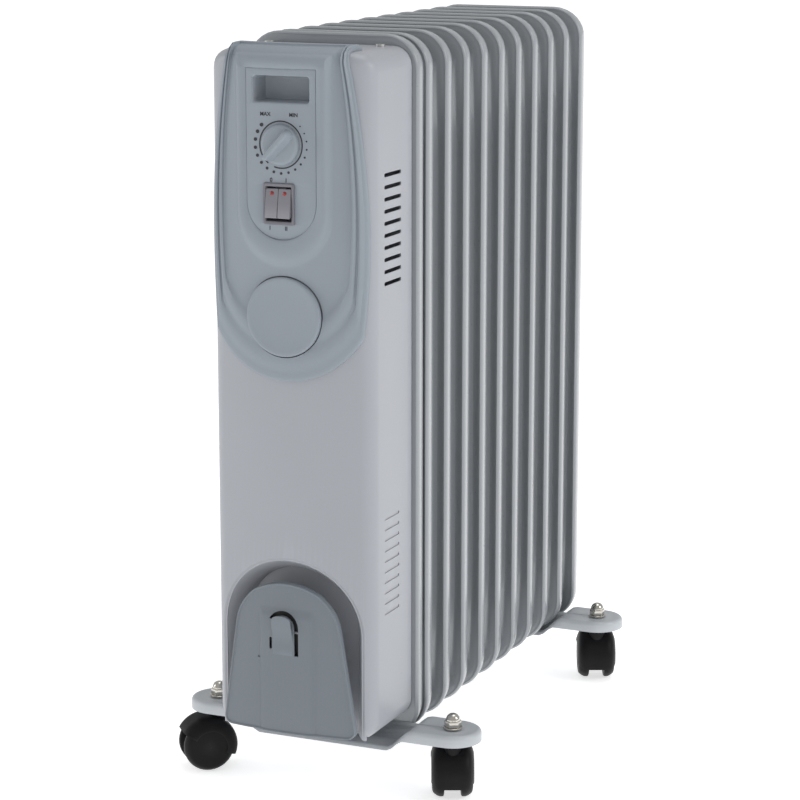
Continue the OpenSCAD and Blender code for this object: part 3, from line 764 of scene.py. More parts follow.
# %% Drawn edge of the arch
DRAWN = ((3.2, -0.06), (2.0, 0.25), (0.9, 0.9), (-0.2, 2.0), (-1.6, 4.0), (-3.8, 7.6), (-6.4, 12.0),
         (-8.6, 16.0), (-9.8, 19.4), (-10.4, 24.0), (-9.2, 24.4), (-8.2, 19.4), (-5.2, 13.0), (-1.6, 7.0),
         (1.2, 3.4), (3.2, 1.2))
edge_rings = []
for k, (x, z) in enumerate(arch_path(ARCH_R, ARCH_TOP, BOX_Z0 + 1.4)):
    across = []
    for out, depth in DRAWN:
        px, pz = arch_path(ARCH_R + out, ARCH_TOP, BOX_Z0 + 1.4)[k]
        across.append((px, face_y(px) + depth, pz))
    edge_rings.append(across)
arch_edge = loft("arch_edge", [(edge_rings, True, True)])
add_piece("winder_arch_edge", arch_edge, box_enamel, angle=50)


# %% [markdown]
# ## The control panel
# The panel is one grey moulding laid over the face of the box and rolled over its top edge.
# Closed loops run from the window in its middle, over a soft raised band shaped like a U,
# across a terrace with two fine ridges, to its outer edge. Each loop has its own height rule.

# %% Panel loops
SIDE_STEPS, ARC_STEPS, TOP_STEPS = 44, 40, 14
BEND_Z = BOX_Z1 - TOP_R
PANEL_HALF = panel_high.x
PANEL_BULGE = (150 ** 2 + 16 ** 2) / 32
PANEL_ARC = PANEL_HALF + 5.5
PANEL_FOOT = BOX_Z1 - 261
PANEL_LENGTH = BEND_Z + TOP_R * math.pi / 2 + 18


def panel_half(z):
    """Half width of the panel at a height along its face."""
    rise = min(abs(z - (BOX_Z1 - 150)), 150.0)
    return PANEL_HALF - (PANEL_BULGE - math.sqrt(PANEL_BULGE ** 2 - rise ** 2))


def loop_from(side, arc, top_z):
    """A loop from its right side (top to bottom), its bottom arc (right to left) and its top height."""
    left = [(-x, z) for x, z in reversed(side)]
    x0 = left[-1][0]
    top = [(x0 + (side[0][0] - x0) * k / TOP_STEPS, top_z) for k in range(1, TOP_STEPS)]
    return side + arc + left + top


def u_loop(width, z0, z1):
    """U shaped loop with a round bottom."""
    half = width / 2
    side = [(half, z1 + (z0 + half - z1) * k / SIDE_STEPS) for k in range(SIDE_STEPS + 1)]
    arc = [(half * math.cos(math.pi * k / ARC_STEPS), z0 + half - half * math.sin(math.pi * k / ARC_STEPS))
           for k in range(1, ARC_STEPS)]
    return loop_from(side, arc, z1)


def outer_loop():
    """Outer edge of the panel: sides that draw in towards the top, and a shallow arc below."""
    centre = PANEL_FOOT + PANEL_ARC
    low = PANEL_FOOT + 37
    while panel_half(low) ** 2 + (low - centre) ** 2 < PANEL_ARC ** 2:
        low -= 0.05
    side = []
    for k in range(SIDE_STEPS + 1):
        z = PANEL_LENGTH + (low - PANEL_LENGTH) * k / SIDE_STEPS
        side.append((panel_half(z), z))
    first = math.asin(panel_half(low) / PANEL_ARC)
    arc = []
    for k in range(1, ARC_STEPS):
        t = first * (1 - 2 * k / ARC_STEPS)
        arc.append((PANEL_ARC * math.sin(t), centre - PANEL_ARC * math.cos(t)))
    return loop_from(side, arc, PANEL_LENGTH)


def on_box(x, z, out):
    """Point standing out from the face of the box; past the bend it runs over the top edge."""
    bend = min(max(z - BEND_Z, 0.0) / TOP_R, math.pi / 2)
    past = max(z - BEND_Z - TOP_R * math.pi / 2, 0.0)
    radius = TOP_R + out
    return (x, face_y(x, out) + radius * (1 - math.cos(bend)) + past,
            min(z, BEND_Z) + radius * math.sin(bend))


INSERT_LOOP = u_loop(60, BOX_Z1 - 147, BOX_Z1 - 13)
BAND_LOOP = u_loop(85, BOX_Z1 - 171, BOX_Z1 - 3)
EDGE_LOOP = outer_loop()
TERRACE, BAND = 4.4, 8.0


def between(a, b, share):
    """Loop between two loops, at a share of the way from the first."""
    return [(p[0] + (q[0] - p[0]) * share, p[1] + (q[1] - p[1]) * share) for p, q in zip(a, b)]


def band_ring(share, lift):
    """Ring on the raised band; lift blends from the plane of the insert to the terrace."""
    ring = []
    for x, z in between(INSERT_LOOP, BAND_LOOP, share):
        high = on_box(x, z, BAND)
        low = on_box(x, z, TERRACE)
        plane = min(insert_low.y, high[1]) if z < BEND_Z else high[1]
        flat = (x, plane, high[2])
        ring.append(tuple(f + (l - f) * lift for f, l in zip(flat, low)))
    return ring


def terrace_ring(share, side_out, foot_out):
    """Ring on the terrace; ridges stand on the sides and die away along the bottom arc."""
    ring = []
    for x, z in between(BAND_LOOP, EDGE_LOOP, share):
        weight = smooth(PANEL_FOOT + 30, PANEL_FOOT + 75, z)
        ring.append(on_box(x, z, foot_out + (side_out - foot_out) * weight))
    return ring


BAND_PROFILE = ((0.0, 0.16), (0.03, 0.03), (0.10, -0.04), (0.25, -0.16), (0.45, -0.18), (0.60, -0.06),
                (0.70, 0.14), (0.80, 0.50), (0.88, 0.84), (0.94, 0.97), (1.0, 1.0))
TERRACE_PROFILE = ((0.08, 3.9, 4.2), (0.2, 3.4, 4.2), (0.34, 3.0, 4.2), (0.47, 2.9, 4.3), (0.52, 3.5, 4.3),
                   (0.55, 4.9, 4.5), (0.61, 5.4, 4.8), (0.665, 4.7, 4.6), (0.69, 3.3, 4.2),
                   (0.73, 3.2, 4.2), (0.755, 4.5, 4.6), (0.81, 5.0, 4.9), (0.865, 4.4, 4.6),
                   (0.89, 3.2, 4.0), (0.93, 3.0, 3.9), (0.965, 2.9, 3.9), (0.985, 2.7, 3.6),
                   (0.997, 2.1, 2.9), (1.0, 1.2, 1.9), (1.0, 0.1, 0.1))
panel_rings = [band_ring(share, lift) for share, lift in BAND_PROFILE]
panel_rings += [terrace_ring(*row) for row in TERRACE_PROFILE]
panel_rings += [[on_box(x, z, 0.1) for x, z in between(INSERT_LOOP, EDGE_LOOP, share)]
                for share in (0.6, 0.2, 0.0)]
panel_rings.append(panel_rings[0])
panel_mesh = loft("panel", [(panel_rings, False, False)])
clean_mesh(panel_mesh)
disc_z = (disc_low.z + disc_high.z) / 2
disc_r = (disc_high.x - disc_low.x) / 2
hole = loft("hole", [(turned([(disc_r + 0.9, 0), (disc_r + 0.9, 14)], (0, BOX_FACE - 9, disc_z), "y", 96),
                      True, True)])
clean_mesh(hole)
panel_mesh = cut(panel_mesh, [hole])
add_piece("control_panel_moulding", panel_mesh, panel_plastic, replaces=["control_panel"],
          angle=30)


# %% [markdown]
# ## Insert, hand recess and round cover
# The insert is a flat moulded plate, dropped into the window of the panel, with openings for the hand
# recess and the switch. The hand recess is a deep cup with a thin wall. The round cover is a turned shape.

# %% Insert plate and its neighbours
PLANE = insert_low.y
cup_x, cup_z = (cup_low.x + cup_high.x) / 2, (cup_low.z + cup_high.z) / 2
knob_x, knob_z = (knob_low.x + knob_high.x) / 2, (knob_low.z + knob_high.z) / 2
switch_x, switch_z = (switch_low.x + switch_high.x) / 2, (switch_low.z + switch_high.z) / 2
switch_w, switch_h = switch_high.x - switch_low.x, switch_high.z - switch_low.z


def rect_points(cx, cz, w, h, r):
    """Outline of a rounded rectangle round a centre."""
    return [(cx + x, cz + z) for x, z in rounded_ring(w / 2, h / 2, r, 2, 2, 6)]


insert_outline = u_loop(59.9, BOX_Z1 - 146.95, BOX_Z1 - 13.05)
insert_mesh = flat_plate("insert", [insert_outline, rect_points(cup_x, cup_z, 49.6, 21.6, 2.6),
                                    rect_points(switch_x, switch_z, switch_w - 2, switch_h - 2, 1.0)],
                         PLANE, PLANE + 2.2, 0.35)
add_piece("insert_plate", insert_mesh, insert_plastic, replaces=["control_insert"],
          angle=30)

CUP_DEPTH = 24.5
cup_shape = ((24.6, 10.6, 2.6, 0.5), (24.4, 10.4, 2.6, 0.9), (24.1, 10.1, 2.6, 6.0),
             (23.6, 9.6, 2.8, CUP_DEPTH - 2.5),
             (21.6, 7.8, 3.4, CUP_DEPTH - 0.6), (19.0, 5.6, 3.0, CUP_DEPTH), (1.0, 0.5, 0.4, CUP_DEPTH))
outer_shape = ((24.9, 10.9, 3.0, 0.5), (24.9, 10.9, 3.0, 6.0), (24.9, 10.9, 3.0, CUP_DEPTH + 1.0),
               (1.0, 0.5, 0.4, CUP_DEPTH + 1.2))
cup_rings = []
for half_w, half_h, radius, depth in list(reversed(cup_shape)) + list(outer_shape):
    cup_rings.append([(cup_x + x, PLANE + depth, cup_z + z)
                      for x, z in rounded_ring(half_w, half_h, radius, 4, 3, 6)])
add_piece("hand_recess", loft("cup", [(cup_rings, True, True)]), cup_plastic, replaces=["handle_cup"],
          angle=40)

disc_face = disc_low.y
DISC = ((0.6, 0.9), (disc_r * 0.45, 0.8), (disc_r * 0.8, 0.5), (disc_r - 4.0, 0.15), (disc_r - 2.2, 0.0),
        (disc_r - 1.0, 0.12), (disc_r - 0.3, 0.5), (disc_r, 1.2), (disc_r, 4.4), (0.6, 4.4))
add_piece("round_cover", loft("disc", [(turned(DISC, (0, disc_face, disc_z), "y", 128), True, True)]),
          panel_plastic, replaces=["cover_disc"], angle=50)


# %% [markdown]
# ## The thermostat dial
# The knob is a shallow turned skirt with a tall blade across it, thick at the foot and thin at the crest.
# Round it the insert carries a printed ring, a row of dots that grow towards the warm end, and plain words.
# The dots follow a rule, so Geometry Nodes place and grow them.

# %% Knob
knob_r = (knob_high.x - knob_low.x) / 2
SKIRT = ((0.5, -5.0), (knob_r - 3.4, -4.8), (knob_r - 1.6, -4.3), (knob_r - 0.7, -3.2), (knob_r - 0.4, -1.0),
         (knob_r - 0.4, -0.45), (0.5, -0.45))
skirt_rings = turned(SKIRT, (knob_x, PLANE, knob_z), "y", 96)
blade_rings = []
for depth, half_wide, half_long in ((-3.5, 5.4, 15.4), (-5.4, 4.6, 15.4), (-8.0, 3.5, 15.2),
                                    (-11.0, 2.7, 14.8), (-12.9, 2.1, 14.2), (-13.45, 1.5, 13.5),
                                    (-13.6, 0.6, 12.4)):
    blade_rings.append([(x, PLANE + depth, z)
                        for x, z in rounded_ring(half_wide, half_long, half_wide * 0.9, 2, 10, 6)])
BLADE_TURN = math.radians(-43)
turned_blade = []
for ring in blade_rings:
    turned_blade.append([(knob_x + x * math.cos(BLADE_TURN) - z * math.sin(BLADE_TURN), y,
                          knob_z + x * math.sin(BLADE_TURN) + z * math.cos(BLADE_TURN)) for x, y, z in ring])
knob_mesh = loft("knob", [(skirt_rings, True, True), (turned_blade, True, True)])
add_piece("thermostat_knob", knob_mesh, insert_plastic, body="dial", replaces=["dial_knob"],
          angle=40)


# %% Printed marks
INK = 0.22
marks = []


def ink_piece(mesh, name):
    """Adds one printed mark."""
    marks.append(add_piece(name, mesh, print_ink, angle=60))


def ink_word(name, word, size, x, z):
    """A plain word or digit as a thin raised print."""
    text = bpy.data.curves.new(name, "FONT")
    text.body = word
    text.size = size * MM
    text.align_x, text.align_y = "CENTER", "CENTER"
    text.extrude = INK / 2 * MM
    text.offset = 0.06 * MM
    carrier = bpy.data.objects.new(name, text)
    mesh = bpy.data.meshes.new_from_object(carrier)
    bpy.data.objects.remove(carrier)
    mesh.transform(Matrix(((1, 0, 0, x * MM), (0, 0, -1, (PLANE - INK / 2) * MM), (0, 1, 0, z * MM),
                           (0, 0, 0, 1))))
    ink_piece(mesh, name)


ink_word("mark_max", "MAX", 4.2, knob_x - 13.4, knob_z + 23.4)
ink_word("mark_min", "MIN", 4.2, knob_x + 11.0, knob_z + 23.4)
for name, word, x, z in (("mark_off", "0", -6.8, 18.6), ("mark_on", "I", 6.2, 18.6),
                         ("mark_one", "I", -8.2, -19.4), ("mark_two", "II", 6.0, -19.4)):
    ink_word(name, word, 4.6, switch_x + x, switch_z + z)

dot = loft("dot", [(turned([(1, 0), (1, -INK)], (0, 0, 0), "y", 20), True, True)])
dot.transform(Matrix.Scale(1.0, 4))
clean_mesh(dot)
dots = grow(dot, RING, Count=17, Radius=(knob_r + 5.9) * MM, Start_Angle=math.radians(42),
            Sweep=math.radians(-264),
            Small=0.6, Large=1.5, Centre=(knob_x * MM, PLANE * MM, knob_z * MM), Finish=print_ink)
ink_piece(dots, "dial_dots")

RING_IN, RING_OUT = knob_r + 1.4, knob_r + 2.4
gap_at, gap = -118, 9
outer_arc = circle_points(knob_x, knob_z, RING_OUT, 96, gap_at + gap, 360 - 2 * gap)
inner_arc = circle_points(knob_x, knob_z, RING_IN, 96, gap_at + gap, 360 - 2 * gap)
ink_piece(flat_plate("dial_ring", [outer_arc + inner_arc[::-1]], PLANE - INK, PLANE + 0.2, 0.02),
          "dial_ring")
print("printed marks:", len(marks))


# %% [markdown]
# ## The double rocker switch
# The frame is a moulded rim with a raised lip. Each rocker is a bent key: two flats that meet over the pivot,
# so one end is always proud and the other is down. A red lens sits in the upper end of each.

# %% Switch frame
frame_face = switch_low.y
frame_shape = ((0.0, 0.0, 1.6, 1.5), (0.15, 0.15, 1.6, 0.5), (0.6, 0.6, 1.4, 0.05), (1.5, 2.0, 1.0, 0.0),
               (2.2, 2.7, 0.8, 0.35), (2.45, 2.95, 0.7, 1.4), (2.5, 3.0, 0.7, 12.0), (1.75, 1.75, 0.7, 12.0),
               (1.75, 1.75, 0.7, 1.5), (0.0, 0.0, 1.6, 1.5))
frame_rings = []
for in_x, in_z, radius, depth in frame_shape:
    frame_rings.append([(switch_x + x, frame_face + depth, switch_z + z) for x, z in
                        rounded_ring(switch_w / 2 - in_x, switch_h / 2 - in_z, radius, 4, 4, 6)])
add_piece("switch_bezel", loft("switch", [(frame_rings, False, False)]), switch_plastic,
          replaces=["switch_frame"], angle=40)


# %% Rockers and lenses
LENS_TILT = 13


def rocker_side(low, high):
    """Side view of a rocker: rounded ends and two flats that meet in the middle."""
    mid = (low.z + high.z) / 2
    reach = (high.z - low.z) / 2 - 1.0
    front, back = low.y, low.y + 6.2
    return [(back, mid - reach + 3.0), (front + 1.2, mid - reach + 0.2), (front + 0.3, mid - reach + 0.5),
            (front + 0.02, mid - reach + 1.2), (front + 1.5, mid + 0.6), (front + 1.9, mid + 1.6),
            (front + 3.3, mid + reach - 1.4), (front + 3.7, mid + reach - 0.5),
            (front + 4.3, mid + reach - 0.2), (back + 0.6, mid + reach - 3.0)]


for side in ("left", "right"):
    low, high = box_mm("rocker_" + side)
    pins = 0.7
    x0 = low.x + (pins if side == "left" else 0)
    x1 = high.x - (pins if side == "right" else 0)
    outline = rocker_side(low, high)
    rings = []
    for inset, x in ((0.5, x0), (0.12, x0 + 0.12), (0.0, x0 + 0.5), (0.0, x1 - 0.5), (0.12, x1 - 0.12),
                     (0.5, x1)):
        cy = sum(p[0] for p in outline) / len(outline)
        cz = sum(p[1] for p in outline) / len(outline)
        rings.append([(x, y + (cy - y) * inset / 4, z + (cz - z) * inset / 14) for y, z in outline])
    add_piece("switch_key_" + side, loft("key", [(rings, True, True)]), key_plastic,
              body=f"rocker_{side}_body", replaces=["rocker_" + side], angle=35)
    lamp_low, lamp_high = box_mm("lamp_" + side)
    lx, lz = (lamp_low.x + lamp_high.x) / 2, (lamp_low.z + lamp_high.z) / 2
    ly = lamp_low.y
    lens = turned([(0.2, -0.35), (1.0, -0.22), (1.7, 0.12), (2.1, 0.6), (2.2, 2.0), (0.2, 2.4)],
                  (lx, ly + 0.2, lz), "y", 40)
    tilt = Matrix.Rotation(math.radians(-LENS_TILT), 3, "X")
    centre = Vector((lx, ly + 0.2, lz))
    lens = [[tuple(centre + tilt @ (Vector(p) - centre)) for p in ring] for ring in lens]
    add_piece("lens_" + side, loft("lens", [(lens, True, True)]), lens_red, body=f"rocker_{side}_body",
              replaces=["lamp_" + side], angle=50)


# %% [markdown]
# ## The cord winder
# The winder plate is a moulding with a thin turned rim, a channel raised down its middle,
# and a sprung tongue cut free by a slot shaped like an upside down U. The tongue is bent forward at its top,
# and a thin black sheet behind the slot is painted shade, so the slot reads as a dark hole.

# %% Winder plate
PLATE_Z0, PLATE_Z1 = plate_low.z, plate_high.z
PLATE_HALF = (plate_high.x - plate_low.x) / 2
SHOULDER_HALF = PLATE_HALF - 15.0
SHOULDER_Z = PLATE_Z1 - 20
plate_front = plate_low.y + 1.6


def winder_loop(inset):
    """Outline of the plate: an arch on top, straight flared sides, and rounded lower corners."""
    rise = PLATE_Z1 - SHOULDER_Z
    arch = (SHOULDER_HALF ** 2 + rise ** 2) / (2 * rise)
    radius = arch - inset
    half = SHOULDER_HALF - inset * 0.9
    centre = PLATE_Z1 - arch
    first = math.asin(half / radius)
    top = []
    for k in range(25):
        t = 0.62 * first * (k / 12 - 1)
        top.append((radius * math.sin(t), centre + radius * math.cos(t)))
    low_half = PLATE_HALF - inset
    z_low = PLATE_Z0 + inset
    corner = max(7 - inset, 1.0)
    shoulder = (half, centre + radius * math.cos(first))
    down = (shoulder[0] + (low_half - half) * 0.16, shoulder[1] + (z_low + corner - shoulder[1]) * 0.16)
    side = []
    for k in range(1, 9):
        share = k / 8
        bend = [(1 - share) ** 2 * a + 2 * share * (1 - share) * b + share ** 2 * c
                for a, b, c in zip(top[-1], shoulder, down)]
        side.append(tuple(bend))
    for k in range(1, 11):
        share = k / 11
        side.append((down[0] + (low_half - down[0]) * share, down[1] + (z_low + corner - down[1]) * share))
    for k in range(7):
        t = math.pi / 2 * k / 6
        side.append((low_half - corner + corner * math.cos(t), z_low + corner - corner * math.sin(t)))
    bottom = [((low_half - corner) * (1 - 2 * k / 16), z_low) for k in range(1, 16)]
    return top + side + bottom + [(-x, z) for x, z in reversed(side)]


def plate_y(x, z, base):
    """The plate is slightly crowned, and its channel stands a little proud."""
    crown = (x / PLATE_HALF) ** 2 * 5.2
    channel = smooth(24.6, 22.4, abs(x)) * smooth(PLATE_Z1 - 20, PLATE_Z1 - 30, z)
    return base + crown - 1.5 * channel


plate_rings = []
for inset, base in ((3.0, 2.4), (1.6, 2.4), (1.4, 5.2), (0.5, 5.4), (0.0, 5.0), (0.0, 1.0), (0.15, 0.35),
                    (0.5, 0.0), (1.1, 0.0), (1.5, 0.3), (1.9, 0.85), (2.4, 1.0)):
    plate_rings.append([(x, plate_y(x, z, plate_front + base), z) for x, z in winder_loop(inset)])


def grid_patch(name, loop_inner, base, thick, step):
    """Filled field inside a loop, lifted by the plate's own rule, with a front and a back."""
    curve_mesh = flat_plate(name, [loop_inner], 0, 1, 0.0001)
    bm = bmesh.new()
    bm.from_mesh(curve_mesh)
    for axis, low, high in (("x", -PLATE_HALF, PLATE_HALF), ("z", PLATE_Z0, PLATE_Z1)):
        cut_at = low
        while cut_at < high:
            co = Vector((cut_at * MM, 0, 0)) if axis == "x" else Vector((0, 0, cut_at * MM))
            no = Vector((1, 0, 0)) if axis == "x" else Vector((0, 0, 1))
            bmesh.ops.bisect_plane(bm, geom=bm.verts[:] + bm.edges[:] + bm.faces[:], plane_co=co,
                                   plane_no=no)
            cut_at += step
    for vert in bm.verts:
        x, y, z = vert.co / MM
        vert.co.y = plate_y(x, z, base + (thick if y > 0.5 else 0.0)) * MM
    bm.to_mesh(curve_mesh)
    bm.free()
    return curve_mesh


field = grid_patch("field", winder_loop(2.2), plate_front + 1.0, 1.5, 1.5)
tongue_z = PLATE_Z1 - 34
TONGUE_X = -2.5
SLOT_OUT, SLOT_IN = 13.8, 9.8
slot_cut = []
over = circle_points(TONGUE_X, tongue_z - 3, SLOT_OUT, 24, 0, 150)
under = circle_points(TONGUE_X, tongue_z - 3, SLOT_IN, 24, 0, 150)
slot_top = [(SLOT_OUT + TONGUE_X, tongue_z - 26)] + over + under[::-1]
slot_top.append((SLOT_IN + 0.4 + TONGUE_X, tongue_z - 26))
slot_left = rect_points(-13.6, tongue_z - 17, 2.4, 10, 1.1)
for outline in (slot_top, slot_left):
    tool = prism(outline, plate_front - 6, plate_front + 8)
    clean_mesh(tool)
    slot_cut.append(tool)
clean_mesh(field)
field = cut(field, slot_cut)
rim_faces = loft("rim", [(plate_rings + [plate_rings[0]], False, False)])
clean_mesh(rim_faces)
add_piece("winder_cover", field, winder_plastic, replaces=["winder_plate"], angle=25)
add_piece("winder_cover_rim", rim_faces, winder_plastic, angle=40)



def tongue_ring(half, corner, y, z):
    """Section of the tongue: a flat strip with its two front corners taken off."""
    return [(TONGUE_X - half, y + 0.5, z), (TONGUE_X - half + corner, y, z),
            (TONGUE_X + half - corner, y, z), (TONGUE_X + half, y + 0.5, z),
            (TONGUE_X + half, y + 1.6, z), (TONGUE_X - half, y + 1.6, z)]


tongue = []
for k in range(9):
    share = k / 8
    lean = -4.4 * smooth(0.30, 1.0, share)
    tongue.append(tongue_ring(9.2 - 0.7 * share, 0.6, plate_front - 0.6 + lean,
                              tongue_z - 26 + share * 30))
z_top = tongue_z + 4
for share, thin in ((0.5, 0.85), (0.85, 0.55), (1.0, 0.2)):
    tongue.append(tongue_ring(8.5 * thin, 0.4, plate_front - 5.0, z_top + 3.6 * share))
# A thin black sheet behind the slot is painted shade: it makes the slot read as a dark hole.
slot_shade_sheet = prism([(-19, tongue_z - 33), (14, tongue_z - 33), (14, tongue_z + 13), (-19, tongue_z + 13)],
               plate_front + 5.5, plate_front + 6.5)
add_piece("winder_pocket", slot_shade_sheet, black_sleeve_and_shade, angle=30)
add_piece("winder_tongue", loft("tongue", [(tongue, True, True)]), winder_plastic,
          angle=35)


# %% [markdown]
# ## Foot brackets
# A foot is pressed from steel strip: round ends, a skirt bent down all round it for stiffness,
# and a dip in the middle where the radiator stands. Rings of the same outline, each a little smaller,
# roll from the inside of the skirt, over the soft edge, to the middle of the top.

# %% Brackets
FOOT_SKIRT = 8.0
FOOT_DIP = 16.0
DIP_IN, DIP_OUT = FIN_W / 2 - 18, FIN_W / 2 + 5


def foot_mesh(node):
    """One pressed bracket, in the place of its solid."""
    low, high = box_mm(node)
    y_mid, top = (low.y + high.y) / 2, high.z
    half_l, half_w = (high.x - low.x) / 2, (high.y - low.y) / 2

    def height(x):
        """Top of the strip, with its dip in the middle."""
        return top - FOOT_DIP * (1 - smooth(DIP_IN, DIP_OUT, abs(x)))

    profile = ((1.8, -FOOT_SKIRT - 1.6), (0.9, -FOOT_SKIRT - 2.0), (0.0, -FOOT_SKIRT - 1.6),
               (0.0, -FOOT_SKIRT * 0.5), (0.15, -2.6), (0.7, -1.3), (1.7, -0.45), (3.0, -0.05),
               (4.5, -0.12), (7.5, -0.8), (10.5, -0.9), (16.0, -0.9), (half_w - 1.5, -0.9))
    under = ((half_w - 1.5, -2.5), (10.0, -2.5), (4.0, -2.0), (2.2, -3.0), (1.8, -5.0))
    rings = []

    def level(x, drop):
        """The edge of the skirt stays level, and closes up where the strip dips below it."""
        if drop > -2.4:
            return height(x) + drop
        return min(top + drop, height(x) - 2.2 + 0.1 * drop)

    for inset, drop in reversed(profile):
        ring = []
        for x, y in rounded_ring(half_l - inset, half_w - inset, half_w - inset - 0.02, 48, 2, 14):
            dish = 0.0 if abs(x) < DIP_OUT else 1.0
            drop_here = drop * (0.35 + 0.65 * dish) if inset > 4 else drop
            ring.append((x, y_mid + y, level(x, drop_here)))
        rings.append(ring)
    for inset, drop in reversed(under):
        rings.append([(x, y_mid + y, level(x, drop)) for x, y in
                      rounded_ring(half_l - inset, half_w - inset, half_w - inset - 0.02, 48, 2, 14)])
    return loft(node, [(rings, True, True)])


for name in ("foot_front", "foot_rear"):
    add_piece(name + "_bracket", foot_mesh(name), foot_enamel, replaces=[name],
              angle=50)


# %% [markdown]
# ## Cap nuts and washers
# Each caster stem ends in a domed cap nut on a washer. One nut is modelled, with its hexagon rounded over
# where it meets the dome, and Geometry Nodes put it on the four stems.

# %% Nuts on stems
nut_low = box_mm("cap_nuts")[0]
washer_low, washer_high = box_mm("washers")
WASHER_R = 8.0
NUT_FLAT, NUT_CORNER = 6.35, 7.1
stem_x = (washer_high.x - washer_low.x) / 2 - WASHER_R
stem_y = (washer_low.y + WASHER_R, washer_high.y - WASHER_R)
stems = [(side * stem_x, y) for y in stem_y for side in (-1, 1)]


def hex_radius(angle, flat, corner):
    """Radius of a hexagon with slightly rounded corners."""
    across = flat / math.cos((angle + math.pi / 6) % (math.pi / 3) - math.pi / 6)
    return min(across, corner)


nut_rings = []
for share, height in ((0.93, 0.0), (0.99, 0.35), (1.0, 0.9), (1.0, 4.6), (0.985, 5.2), (0.93, 5.6)):
    ring = []
    for k in range(72):
        t = 2 * math.pi * k / 72
        r = hex_radius(t, NUT_FLAT, NUT_CORNER) * share
        ring.append((r * math.cos(t), r * math.sin(t), height))
    nut_rings.append(ring)
dome = ((6.0, 5.7), (5.95, 6.4), (5.7, 7.6), (5.1, 8.9), (4.2, 10.0), (2.9, 10.9), (1.4, 11.4), (0.3, 11.5))
nut_rings += turned(dome, (0, 0, 0), "z", 72)
nut_mesh = clean_mesh(loft("cap_nut", [(nut_rings, True, True)]), 40)
washer_profile = ((4.3, 0.0), (7.6, 0.0), (WASHER_R, 0.3), (WASHER_R, 1.1), (7.6, 1.4), (4.3, 1.4),
                  (4.3, 0.0))
washer_mesh = clean_mesh(loft("washer", [(turned(washer_profile, (0, 0, 0), "z", 56), False, False)]), 40)


def on_stems(name, shape_mesh, height, material, node):
    """Puts one shape on all four stems."""
    seats = bpy.data.meshes.new(name + "_seats")
    seats.from_pydata([(x * MM, y * MM, height * MM) for x, y in stems], [], [])
    shape = bpy.data.objects.new(name + "_shape", shape_mesh)
    bpy.context.scene.collection.objects.link(shape)
    made = grow(seats, POINTS, Shape=shape, Finish=material)
    bpy.data.objects.remove(shape)
    return add_piece(name, made, material, replaces=[node], clean=False)


on_stems("stem_cap_nuts", nut_mesh, nut_low.z, nickel, "cap_nuts")
on_stems("stem_washers", washer_mesh, washer_low.z, nickel, "washers")


# %% [markdown]
# ## Casters
# A twin-wheel caster is a nylon hood over two wheels, with a web between them and a collar round the stem.
# The hood is barrel shaped: its section across the wheels is carried round the axle, so it is a turned shape
# that stops above the floor. Wheels are turned, with a tread, a rounded shoulder and a plain domed side
# that hides the axle.

# %% Caster parts
wheel_low, wheel_high = box_mm("wheel_fl_in")
WHEEL_R = (wheel_high.z - wheel_low.z) / 2
HOOD_TOP = box_mm("hood_fl")[1].z
WEB_HALF, WHEEL_W = 6.5, 10.5
HOOD_HALF = WEB_HALF + WHEEL_W + 1.0
TRAIL = 12.0
HOOD_FROM, HOOD_TO = -22, 150


def joint_named(name):
    """The entry of one joint in the frame."""
    return next(joint for joint in frame["joints"] if joint["name"] == name)


def caster_place(corner):
    """Turns a caster's own axes (X ahead, Y along the axle) into its place and heading."""
    stem = Vector(joint_named("swivel_" + corner)["pos_m"])
    axle = Vector(joint_named(f"roll_{corner}_in")["axis"])
    ahead = Vector((axle.y, -axle.x, 0)).normalized()
    place = Matrix.Identity(4)
    place.col[0] = (*ahead, 0)
    place.col[1] = (*axle.normalized(), 0)
    place.col[3] = (stem.x, stem.y, 0, 1)
    return place


def barrel(y):
    """Outer radius of the hood at a distance from its middle: a barrel that is fullest in the middle."""
    return WHEEL_R + 3.4 - 9.4 * (y / HOOD_HALF) ** 6


